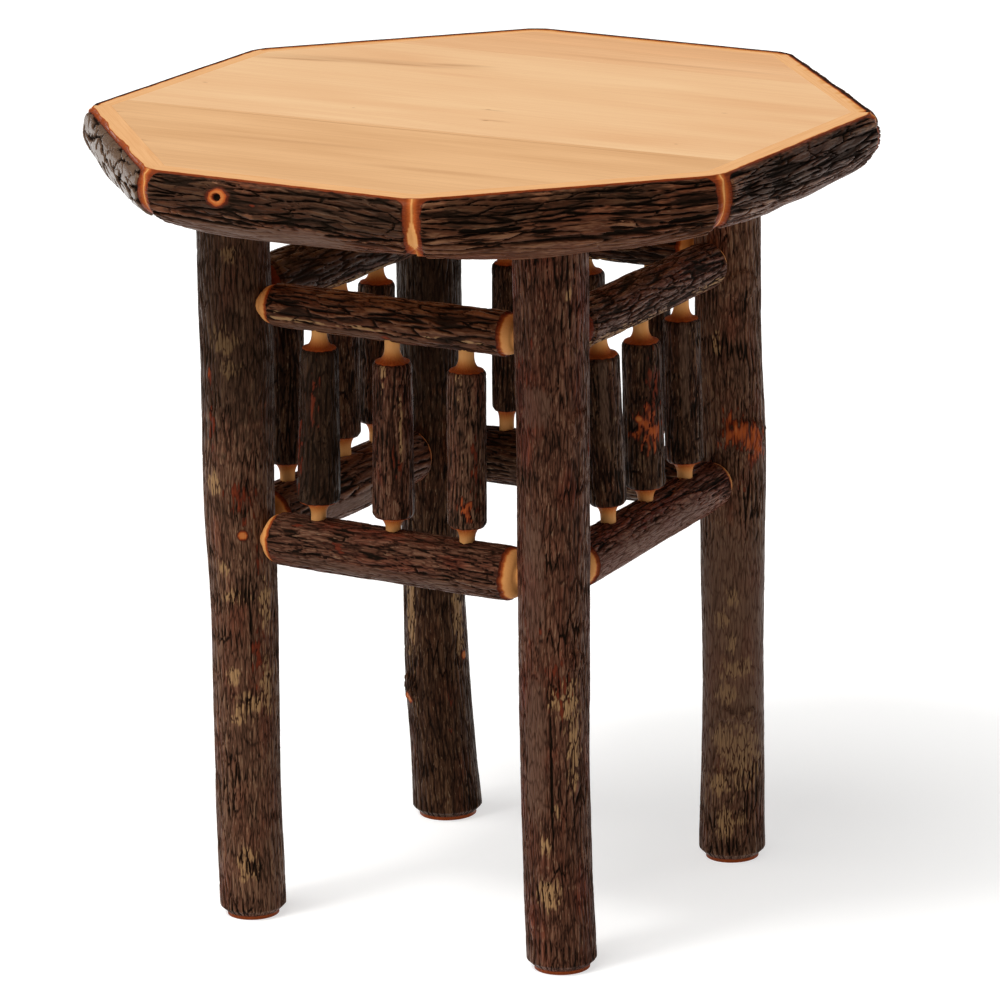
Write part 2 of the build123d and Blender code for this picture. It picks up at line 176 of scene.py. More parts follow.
def board_material(name, light, dark, shift, waviness, smudges):
    """Pine under satin lacquer: an even, low sheen over fine straight lines that a broad figure bends,
    with short darker pores between. Each smudge darkens the wood inside an ellipse."""
    material, output = new_material(name)
    place = node(material, "TexCoord").outputs["Object"]
    moved = node(material, "Mapping", Vector=place, Location=(shift, shift * 7, 0))
    broad = node(material, "Mapping", Vector=moved,
                 Scale=(1 / cathedral_length, 1 / cathedral_width, 1 / cathedral_width))
    figure = node(material, "TexNoise", Vector=broad, Scale=1.0, Detail=3.0)
    bend = node(material, "VectorMath", multiply, figure.outputs["Color"], (0, grain_bend * waviness, 0))
    bent = node(material, "VectorMath", add, moved, bend)
    lines = node(material, "Mapping", Vector=bent,
                 Scale=(1 / grain_line_length, 1 / grain_line_width, 1 / grain_line_width))
    grain = node(material, "TexNoise", Vector=lines, Scale=1.0, Detail=2.0)
    fine = node(material, "Mapping", Vector=bent, Scale=(1 / pore_length, 1 / pore_width, 1 / pore_width))
    pores = node(material, "TexNoise", Vector=fine, Scale=1.0, Detail=1.0)
    mixed = node(material, "Math", multiply_add, figure, 0.75, node(material, "Math", multiply, grain, 0.55))
    share = node(material, "MapRange", Value=mixed, From_Min=0.45, From_Max=0.85)
    tone = node(material, "Mix", colour_mix, share, linear(light), linear(dark))
    shade = node(material, "MapRange", Value=pores, From_Min=0.62, From_Max=0.8, To_Max=0.18)
    stirred = node(material, "VectorMath", add, place, bend)
    for x, y, half_length, half_width, tilt, strength in smudges:
        within = node(material, "Mapping", {"vector_type": "TEXTURE"}, Vector=stirred,
                      Location=(x * mm, y * mm, 0), Rotation=(0, 0, radians(tilt)),
                      Scale=(half_length * mm, half_width * mm, smudge_depth))
        away = node(material, "VectorMath", {"operation": "LENGTH"}, within)
        smudge = node(material, "MapRange", Value=away, From_Min=1.2, From_Max=0.2, To_Max=strength)
        shade = node(material, "Math", {"operation": "MAXIMUM"}, smudge, shade)
    final = node(material, "Mix", colour_mix, shade, tone, linear(smudge_colour))
    bump = node(material, "Bump", Height=pores, Strength=0.04, Distance=0.2 * mm)
    shader = node(material, "BsdfPrincipled", Base_Color=final, Roughness=0.32, Normal=bump,
                  Specular_IOR_Level=0.35, Coat_Weight=0.06, Coat_Roughness=0.18)
    material.node_tree.links.new(shader.outputs[0], output.inputs[0])
    return material


for name, looks in boards.items():
    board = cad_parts[name]
    board.data.materials.clear()
    board.data.materials.append(board_material(name.replace("top_board", "satin_lacquered_pine"), *looks))

# ---------------------------------------------------------------- half-log edging
# Eight hickory saplings sawn in half, with the bark left on, mitred at the octagon's corners and
# planed level with the boards. A red-brown line of inner bark shows where the plane cut through.
table_height = 660 * mm
across_flats = 591 * mm
flat_band = 17 * mm
edge_log_depth, edge_log_rise = 26 * mm, 28 * mm
half_mitre = radians(22.5)
panel_apothem = across_flats / 2 - flat_band
glue_line, joint_gap = 0.2 * mm, 0.04 * mm      # the glue fills most of each joint
log_half = (panel_apothem + 20 * mm) * tan(half_mitre)      # half its length, 20 mm out from the boards
bow_half = across_flats / 2 * tan(half_mitre) * 1.15        # half the length of its bow

hash_factors = (73856093, 19349663, 83492791, 1274126177, 668265263)    # large odd numbers
hash_mask = 0x7FFFFFFF
endless = 512               # cells before noise repeats, more than any log shows


def whole_hash(column, row, seed):
    """Repeatable random numbers from 0 to 1, one for each pair of whole numbers: each is multiplied
    by a large odd number, the products are mixed bit by bit, and the last 16 bits are kept."""
    a, b, c, d, e = hash_factors
    mixed = (column * a ^ row * b ^ seed * c) & hash_mask
    mixed = (mixed ^ mixed >> 13) * d & hash_mask
    mixed = (mixed ^ mixed >> 15) * e & hash_mask
    return (mixed ^ mixed >> 14) % 65536 / 65535


def drift(u, v, around, seed):
    """Gradient noise from about -1 to 1 that repeats every `around` cells of u: each lattice corner
    has a random slope, and the four slopes' heights are blended by 6t^5 - 15t^4 + 10t^3."""
    cell_u, cell_v = np.floor(u).astype(np.int64), np.floor(v).astype(np.int64)
    t_u, t_v = u - cell_u, v - cell_v
    blend_u, blend_v = (t ** 3 * (t * (6 * t - 15) + 10) for t in (t_u, t_v))
    total = np.zeros(np.broadcast(u, v).shape)
    for i in (0, 1):
        for j in (0, 1):
            angle = 2 * pi * whole_hash((cell_u + i) % around, cell_v + j, seed)
            height = np.cos(angle) * (t_u - i) + np.sin(angle) * (t_v - j)
            total += height * (blend_u if i else 1 - blend_u) * (blend_v if j else 1 - blend_v)
    return total * 1.5


def uneven(across, along, width, length, seed):
    """Drift over plain lengths, in cells of width by length: at (across / width + 64, along / length)."""
    return drift(across / width + 64, along / length, endless, seed)


def plates(u, v, width, length, around, seed):
    """Bark plates: cells round scattered points, `width` by `length` on average. Gives the distance
    from each border, (d2^2 - d1^2) / 2 over the length of its slope, and the cell's random number."""
    cell_u, cell_v = np.floor(u).astype(np.int64), np.floor(v).astype(np.int64)
    shape = np.broadcast(u, v).shape
    near, second, own = np.full(shape, 9.0), np.full(shape, 9.0), np.zeros(shape)
    near_at, second_at = np.zeros((2, *shape)), np.zeros((2, *shape))
    for i in (-1, 0, 1):
        for j in (-1, 0, 1):
            column, row = (cell_u + i) % around, cell_v + j
            at = np.stack(np.broadcast_arrays(cell_u + i + whole_hash(column, row, seed) - u,
                                              row + whole_hash(column, row, seed + 1) - v))
            away = (at ** 2).sum(0)
            closer = away < near
            between = ~closer & (away < second)
            second_at = np.where(closer, near_at, np.where(between, at, second_at))
            second = np.where(closer, near, np.where(between, away, second))
            own = np.where(closer, whole_hash(column, row, seed + 2), own)
            near_at, near = np.where(closer, at, near_at), np.where(closer, away, near)
    slope_u, slope_v = near_at - second_at
    return (second - near) / 2 / np.maximum(np.hypot(slope_u / width, slope_v / length), 1e-6), own


def smooth(low, high, value):
    """0 at low and before it, 1 at high and past it, and 3t^2 - 2t^3 between."""
    t = np.clip((value - low) / (high - low), 0, 1)
    return t * t * (3 - 2 * t)


def bark_relief(turn, along, girth, seed, width, length, crack, fissured, closed=0.0):
    """Height of bark from 0, at the floor of a crack, to 1: large cracks * small cracks * each plate's
    own height * its doming. Long plates part at cracks of uneven width that fade in and out, the more
    so the more the bark is closed, and smaller plates break them up. Old bark is fissured: all its
    cracks are open, and hollows and swells run along between them."""
    # large plates: how they sway along the log, and where and how wide the cracks between them open
    around = max(4, round(girth / width))
    across, v = turn * around, along / length
    slow, quick = drift(turn * 3, v * 0.7, 3, seed), drift(across, v * 2.5, around, seed + 1)
    sway, bent = 0.5 * slow + 0.16 * quick, across + 1.3 * slow + 0.2 * quick
    border, own = plates(across + sway, v, width, length, around, seed + 2)
    border = border + 0.5 * crack * drift(across * 5, v * 9, around * 5, seed + 9)
    opened = smooth(closed - 0.35, closed + 0.1, drift(turn * 6, v * 1.2, 6, seed + 5))
    open_share = 0.25 * (1 - closed) + (0.75 + 0.25 * closed) * opened
    open_share = open_share + (0.9 - open_share) * fissured
    gape = crack * (0.4 + 1.5 * smooth(-0.3, 0.6, drift(turn * 8, v * 2.2, 8, seed + 10)))
    large = 1 - open_share * (1 - smooth(0, gape, border))

    # smaller plates, with cracks in patches, and the height that both kinds give
    small_border, small_own = plates((across + 1.3 * sway) * 2, v * 2.6, width / 2, length / 2.6,
                                     around * 2, seed + 6)
    patchy = smooth(-0.2, 0.4, drift(turn * 9, v * 2, 9, seed + 10))
    small = 1 - (0.4 + 0.2 * fissured) * (1 - smooth(0, 0.5 * gape, small_border)) * patchy
    own_height, doming = 0.72 + 0.16 * own + 0.12 * small_own, 0.86 + 0.14 * smooth(0, width / 2, border)
    plated = large * small * own_height * doming

    # hollows and swells of old bark
    hollows = smooth(-0.55, -0.2, drift(bent, v * 0.9, around, seed + 11))
    swells = drift(bent * 2, v * 2, around * 2, seed + 13)
    return np.clip(plated * (1 - fissured * 0.6 * (1 - hollows)) + 0.18 * fissured * swells, 0, 1)


def mark_share(kind, across_share, along_share, border):
    """1 inside a mark on the bark, falling to 0 at its ragged border, where its shares of the half width
    and half length come to |across|^power + |along|^power = 1: an ellipse, or squarer for worn bark with
    its painted light and for a dark mark of painted shade."""
    power = 4 if kind in ("wear_and_painted_light", "dark") else 2
    raggedness = 0.9 if kind == "lichen" else 0.35
    away = (np.abs(across_share) ** power + np.abs(along_share) ** power) ** (1 / power)
    return 1 - smooth(0.85, 1.1, away + raggedness * border)


def add_marks(marks, turn, along, girth, seed, relief):
    """Lays marks over the bark: lichen greys it, wear smooths it and paints it paler, as worn bark and as
    painted light from the floor, a dark mark paints shade as values below 0, a flame or a stronger blaze
    rubs it down to orange streaks, a scar peels it, a crack splits it, a swelling pushes it out, and a
    knot peels it, round a hollow eye if it is a large one. A mark is its kind, its place round the log as
    a share of the turn, its place along, its half width and its half length, in mm. Gives relief, peel,
    patina, wear_and_painted_light and lift."""
    relief = relief.copy()
    peel, patina, wear_and_painted_light, lift = np.zeros((4, *relief.shape))
    for number, (kind, round_at, along_at, half_width, half_length) in enumerate(marks):
        across = ((turn - round_at + 0.5) % 1 - 0.5) * girth
        across_share, along_share = across / half_width / mm, (along / mm - along_at) / half_length
        away = np.hypot(across_share, along_share)
        border = uneven(across, along, 2.2 * mm, 8 * mm, seed + 40 + number)
        share = mark_share(kind, across_share, along_share, border)
        if kind == "lichen":
            patina = np.maximum(patina, share)
        # wear smooths the bark and paints it paler: worn bark, and painted light from the floor below
        elif kind == "wear_and_painted_light":
            relief += (0.82 - relief) * 0.75 * share
            wear_and_painted_light = np.where(share > 0, np.maximum(wear_and_painted_light, share), wear_and_painted_light)
        # a dark mark is painted shade, laid as values below 0 in the same attribute
        elif kind == "dark":
            wear_and_painted_light = np.minimum(wear_and_painted_light, -share)
        elif kind in ("flame", "blaze"):
            speckle = (uneven(across, along, 3 * mm, 12 * mm, seed + 70 + number)
                       + 0.6 * uneven(across, along, 1.3 * mm, 7 * mm, seed + 80 + number))
            reach, strength = (1.0, 0.42) if kind == "blaze" else (0.6, 0.25)
            rubbed = smooth(-0.2, 0.5, reach - away + speckle) * smooth(0.3, 0.6, relief)
            peel = np.maximum(peel, rubbed * (strength + 0.1 * speckle + 0.06 * smooth(0.8, 0, away)))
        elif kind == "scar":
            peel = np.maximum(peel, 0.42 * share * smooth(0.3, 0.6, relief))
            relief += (0.6 - relief) * 0.3 * share
        elif kind == "crack":
            relief *= 1 - 0.95 * share
        elif kind == "swelling":
            lift += 2.2 * mm * share
        elif kind == "knot":
            from_eye = away + 0.08 * uneven(across, along, 4 * mm, 5 * mm, seed + 60 + number)
            ring = 0.62 * smooth(1.05, 0.9, from_eye) - 0.16 * smooth(0.6, 0.95, from_eye)
            peel = np.maximum(peel, np.maximum(0.24 * smooth(1.4, 1.1, from_eye), ring))
            relief += (0.75 - relief) * smooth(1.5, 0.9, from_eye)
            hollow = (half_width > 5) * smooth(0.48, 0.36, np.hypot(across_share, along_share + 0.12))
            relief, peel = relief * (1 - hollow), peel * (1 - hollow)
            lift += 0.8 * mm * smooth(2.2, 0.9, from_eye) * (1 - hollow)
    return relief, peel, patina, wear_and_painted_light, lift


def skin(name, rings, attributes, material):
    """A closed mesh over rings of points, counter-clockwise round the way the rings follow each
    other: each four neighbours make a face, and a flat face closes each end."""
    rows, columns = rings.shape[:2]
    index = np.arange(rows * columns).reshape(rows, columns)
    ahead_of = np.roll(index, -1, axis=1)
    quads = np.stack([index[:-1], ahead_of[:-1], ahead_of[1:], index[1:]], axis=-1).reshape(-1, 4)
    mesh = bpy.data.meshes.new(name)
    mesh.from_pydata(rings.reshape(-1, 3), [], [*quads.tolist(), index[0, ::-1].tolist(), index[-1].tolist()])
    for key, values in attributes.items():
        kind, value_name = ("FLOAT_VECTOR", "vector") if values.ndim == 3 else ("FLOAT", "value")
        layer = mesh.attributes.new(key, kind, "POINT")
        layer.data.foreach_set(value_name, np.ascontiguousarray(values, dtype=np.float32).ravel())
    mesh.shade_smooth()
    mesh.materials.append(material)
    piece = bpy.data.objects.new(name, mesh)
    bpy.context.collection.objects.link(piece)
    return piece


# Patterns drawn out along a log: width, length and detail.
log_patterns = {"strands": (1.0 * mm, 14 * mm, 3.0), "stains": (20 * mm, 60 * mm, 3.0),
                "flecks": (1.1 * mm, 6 * mm, 2.0), "bare_grain": (1.6 * mm, 60 * mm, 2.0)}
check_width, check_length = 2.3 * mm, 17 * mm
# the third colour is painted shade, and the fourth is worn bark made paler with painted light
fleck_colour, lichen_colour, painted_shade_colour, worn_and_painted_light_colour = "#8C7358", "#8C6B48", "#140A05", "#553F33"
bare_light, bare_dark = "#DFAC79", "#D39C68"
# from the dark outer layers of the inner bark to the pale wood
peeled_tones = ((0.2, "#2A0D06"), (0.4, "#5A2010"), (0.58, "#98461C"), (0.78, "#BE7A40"), (1.0, "#D39A5E"))


def bark_material(name, crack, valley, ridge, crest_and_highlight, stain, stain_share=0.5, dust_share=0.5, ribs=1.0):
    """Hickory bark under satin lacquer: matt black cracks, and crests that are greyed and catch a low
    sheen; their pale tone is partly a painted highlight. The height of the bark sets its tone, and
    reddish stains, pale flecks and fine strands run along the log. Where the bark is peeled the red
    inner bark shows, and then the pale wood."""
    material, output = new_material(name)
    place = node(material, "Attribute", {"attribute_name": "log_place"}).outputs["Vector"]
    relief, peel, patina, wear_and_painted_light = (node(material, "Attribute", {"attribute_name": key}).outputs["Fac"]
                                  for key in ("relief", "peel", "patina", "wear_and_painted_light"))
    pattern = {}
    for key, (width, length, detail) in log_patterns.items():
        stretched = node(material, "Mapping", Vector=place, Scale=(1 / width, 1 / width, 1 / length))
        pattern[key] = node(material, "TexNoise", Vector=stretched, Scale=1.0, Detail=detail)
    stretched = node(material, "Mapping", Vector=place,
                     Scale=(1 / check_width, 1 / check_width, 1 / check_length))
    checks = node(material, "TexVoronoi", {"feature": "DISTANCE_TO_EDGE"}, Vector=stretched, Scale=1.0)

    # the height of the bark, with fine ribs between checks, and the tones of the bark and under it
    ribbed = node(material, "MapRange", Value=checks, From_Max=0.16, To_Min=-0.55 * ribs, To_Max=-0.25 * ribs)
    lifted = node(material, "Math", multiply_add, pattern["strands"], 0.5 * ribs, relief)
    height = node(material, "Math", add, lifted, ribbed)
    bark_share = node(material, "MapRange", Value=height, From_Min=0.1, From_Max=1.15)
    peel_share = node(material, "Math", multiply_add, pattern["strands"], 0.12, peel)
    colour, peeled_colour = (node(material, "ValToRGB", Fac=share) for share in (bark_share, peel_share))
    # the crest tone stands for greyed bark and partly for a painted highlight on the ridge tops
    bark_tones = ((0.0, crack), (0.3, valley), (0.62, ridge), (1.0, crest_and_highlight))
    for ramp, tones in ((colour, bark_tones), (peeled_colour, peeled_tones)):
        stops = ramp.color_ramp.elements
        for number, (position, tone) in enumerate(tones):
            stop = stops[number] if number < 2 else stops.new(position)     # a new ramp has two stops
            stop.position, stop.color = position, linear(tone)

    # how much of each colour shows: flecks and lichen on the crests, painted shade in dark marks, wear with
    # its painted light, and peel
    stained = node(material, "MapRange", Value=pattern["stains"], From_Min=0.48, From_Max=0.66,
                   To_Max=stain_share)
    fleck = node(material, "MapRange", Value=pattern["flecks"], From_Min=0.6, From_Max=0.72)
    dusty = node(material, "MapRange", Value=height, From_Min=0.5, From_Max=0.8, To_Max=dust_share)
    crests = node(material, "MapRange", Value=height, From_Min=0.5, From_Max=0.68)
    rubbed = node(material, "MapRange", Value=height, From_Min=0.3, From_Max=0.8, To_Min=0.1, To_Max=0.5)
    painted_shade = node(material, "MapRange", Value=wear_and_painted_light, From_Max=-1.0, To_Max=0.62)
    peeled = node(material, "MapRange", Value=peel_share, From_Min=0.16, From_Max=0.3)
    bare = node(material, "MapRange", Value=peel, From_Min=0.93, From_Max=0.99)
    flecked, lichened, worn_and_painted_light = (node(material, "Math", multiply, *pair)
                               for pair in ((fleck, dusty), (crests, patina), (rubbed, wear_and_painted_light)))
    grain = node(material, "MapRange", Value=pattern["bare_grain"], From_Min=0.35, From_Max=0.7)
    bare_wood = node(material, "Mix", colour_mix, grain, linear(bare_light), linear(bare_dark))

    # the stain tints the bark, and each colour after it is laid over the last
    colour = node(material, "Mix", {**colour_mix, "blend_type": "COLOR"}, stained, colour, linear(stain))
    for share, over in ((flecked, linear(fleck_colour)), (lichened, linear(lichen_colour)),
                        (painted_shade, linear(painted_shade_colour)), (worn_and_painted_light, linear(worn_and_painted_light_colour)),
                        (peeled, peeled_colour), (bare, bare_wood)):
        colour = node(material, "Mix", colour_mix, share, colour, over)

    bumpy = node(material, "MapRange", Value=peel, From_Min=0.4, From_Max=0.9, To_Min=0.8, To_Max=0.03)
    bump = node(material, "Bump", Height=height, Strength=bumpy, Distance=0.5 * mm)
    rough = node(material, "MapRange", Value=height, From_Min=0.35, From_Max=0.95, To_Min=0.8, To_Max=0.22)
    shader = node(material, "BsdfPrincipled", Base_Color=colour, Roughness=rough, Normal=bump,
                  Specular_IOR_Level=0.13, Specular_Tint=linear("#F2D3AE"))
    material.node_tree.links.new(shader.outputs[0], output.inputs[0])
    return material


# Hickory bark varies: brown or reddish on young wood, ridged and coarse on older wood, and grey in old
# scales. The nearly black bark is a darker copy, painted shade for the parts that stand in shade. The
# lacquer deepens them all. Tones: crack, valley, ridge, crest with its painted highlight, stain.
brown_bark = bark_material("lacquered_hickory_bark_brown",
                           "#0A0402", "#342016", "#563829", "#7E6148", "#622A1A", ribs=1.2)
ridged_bark = bark_material("lacquered_hickory_bark_ridged",
                            "#080301", "#200F08", "#4C2A1A", "#8A6347", "#56210F", 0.4, 0.25, ribs=0.4)
grey_bark = bark_material("lacquered_hickory_bark_grey",
                          "#100704", "#1C0E08", "#48362A", "#69513E", "#6A4632", 0.1, 0.0, ribs=0.3)
# painted shade: a darker copy of the bark for the parts that stand in shade
painted_shade_bark = bark_material("lacquered_hickory_bark_dark",
                          "#060201", "#1C0C06", "#371F12", "#654A34", "#4C1A0A")
russet_bark = bark_material("lacquered_hickory_bark_russet",
                            "#080301", "#34170C", "#5E3020", "#8A5C42", "#6A2210", 0.7, ribs=1.2)
red_bark = bark_material("lacquered_hickory_bark_red",
                         "#080301", "#2B150D", "#4B2B1E", "#765440", "#601E0E", 0.7, ribs=1.2)

# Each half log, counter-clockwise from the right: (change of depth, change of rise) in mm at its right
# end, in its middle and at its left end, seen from outside; its bark; the width, length and cracks of
# that bark's plates in mm; how fissured it is; and its marks, placed round the bark from 0 at the
# boards to 1 at the sawn back, and along from the middle.
# Dark marks on the upper bark are painted shade, and wear marks, mostly low on the bark, are made paler with
# painted light from the floor.
edge_logs = {
    "right": ((-4, -2.5), (0, 0.5), (-4, -1), ridged_bark, (4.5, 65, 1.0), 0.75,
              [("wear_and_painted_light", 0.85, 20, 14, 90), ("dark", 0.26, 0, 15, 104)]),
    "back_right": ((-4, -1), (0.5, 1), (-4, -1), ridged_bark, (6, 45, 1.4), 0.7,
                   [("wear_and_painted_light", 0.7, 30, 12, 60), ("crack", 0.5, -40, 1.3, 34), ("flame", 0.3, -62, 3, 4)]),
    "back": ((-4, -1), (0, 1), (-4, -1), ridged_bark, (6, 40, 1.4), 0.6, [("knot", 0.35, 60, 6, 6)]),
    "back_left": ((-4, -1), (0.5, 0), (-4, -1), red_bark, (6, 45, 1.4), 0.7, [("wear_and_painted_light", 0.7, -30, 12, 60)]),
    "left": ((-4, -1), (0, 1), (-4, -1), ridged_bark, (8, 34, 1.6), 0.5,
             [("crack", 0.5, 30, 1.3, 40), ("wear_and_painted_light", 0.72, -20, 12, 50)]),
    "front_left": ((-4, -3), (0, -1.5), (-4, -3), grey_bark, (12, 34, 3.8), 0.0, []),
    "front": ((-4, 0), (0, 0.5), (-4, -2.5), ridged_bark, (6, 55, 1.1), 0.55,
              [("dark", 0.24, -75, 14, 42), ("dark", 0.26, 50, 16, 76), ("wear_and_painted_light", 0.78, -20, 15, 85),
               ("wear_and_painted_light", 0.62, 28, 7, 34), ("crack", 0.565, -62, 1.3, 46), ("crack", 0.455, 10, 1.2, 34),
               ("crack", 0.54, 82, 1.4, 40), ("knot", 0.24, -49, 6.5, 9.5),
               ("flame", 0.17, -20, 2, 3), ("flame", 0.28, -17, 2, 3), ("flame", 0.28, 112, 3, 3)]),
    "front_right": ((-4, 0), (1, 3.5), (-4, 0), ridged_bark, (5.5, 62, 1.2), 0.75,
                    [("wear_and_painted_light", 0.44, 18, 7, 13), ("wear_and_painted_light", 0.75, 0, 10, 100), ("crack", 0.4, -60, 1.8, 24),
                     ("crack", 0.53, 57, 1.8, 28), ("crack", 0.47, 92, 2.2, 22), ("dark", 0.2, -62, 12, 38),
                     ("dark", 0.14, 30, 8, 50)]),
}
# Half width in mm of the pale wedge at the foot of each mitre, counter-clockwise from the one
# between the right and back right half logs; and the width in mm of the rim of bark that the plane
# cut through on each half log, counter-clockwise from the right.
mitre_wedges = (1.5, 0.5, 2, 0, 0, 0, 4.5, 0.5)
bark_rims = (1.5, 5, 6, 6, 4.5, 1.2, 1.5, 1.5)
wide_rim = 2                # in mm; a rim wider than this shows its dark outer layers
edge_rows, bark_columns, back_columns = 210, 128, 8
end_row = 0.9992            # share of the half length at which the row next to each mitre lies
# columns across the planed strip, close together at its two edges
strip = np.concatenate([(0, 0.006, 0.35, 0.7), np.linspace(0.75, 1, 13)])[None, :]
bark_wrap = 0.62            # share of a whole sapling's girth that the bark of a half log takes up
edge_bark_height, edge_mean_relief = 3.4 * mm, 0.7  # height of a crest, and the level on the ellipse itself
end_band, edge_band = 7 * mm, 0.9 * mm              # inner bark shown at the mitres and along the edge
scaly_band = 2.8            # times as wide a band along the edge of old scaly bark
corner_round = 8 * mm       # rounding of the bark's corners, where the two bands meet
edge_bark_step = 1.3 * mm   # how far the inner bark lies below the bark
rounded_length, rounded_drop = 9 * mm, 3.0 * mm     # rounding of the bark towards each mitre
strip_margin, strip_corner = 0.8 * mm, 2.2 * mm     # bark left on the flat band, and cut off at its corners


def planed_strip(along, from_end, waney, seed):
    """How far out each point of the planed strip lies: its outer edge wanders with the bark, and is
    drawn in over the last 9 mm at each mitre, where its corners are rounded."""
    wander = 1.6 * mm * waney * drift(along / (32 * mm) + 64, 0.5, endless, seed)
    width = (flat_band - strip_margin + wander * smooth(0, 12 * mm, from_end)
             - strip_corner * smooth(rounded_length, 0, from_end))
    return joint_gap - glue_line + strip * width


def strip_peel(strip_out, along, rim, seed):
    """Peel of the planed strip: 1 on bare wood, and 0.52 on the rim where the plane cut through the
    inner bark, less 0.4 towards the edge of a wide rim."""
    from_rim = strip_out[:, -1:] - strip_out + 0.5 * mm * drift(along / (9 * mm) + 64, 1.5, endless, seed)
    outer_layers = 0.4 if rim > wide_rim * mm else 0
    return 1 - 0.48 * smooth(rim, 0.8 * rim, from_rim) - outer_layers * smooth(0.7 * rim, 0.5 * rim, from_rim)


def end_peel(arc, arc_length, from_end, wedge, waney):
    """Peel where the bark has stopped: inner bark, paler towards the mitre, and bare wood in a hairline
    along the mitre that widens to a wedge under the log."""
    pale = 0.55 * mm * smooth(0.7, 0, arc) + wedge * smooth(0.22, 0.52, arc) * smooth(0.8, 0.56, arc)
    bare = 0.38 + 0.2 * smooth(6 * mm, 1 * mm, from_end) + 0.44 * smooth(0.5 * mm, -0.5 * mm, from_end - pale)
    return np.minimum(bare + 0.12 * waney * smooth(4 * mm, 0, arc * arc_length), 0.88)


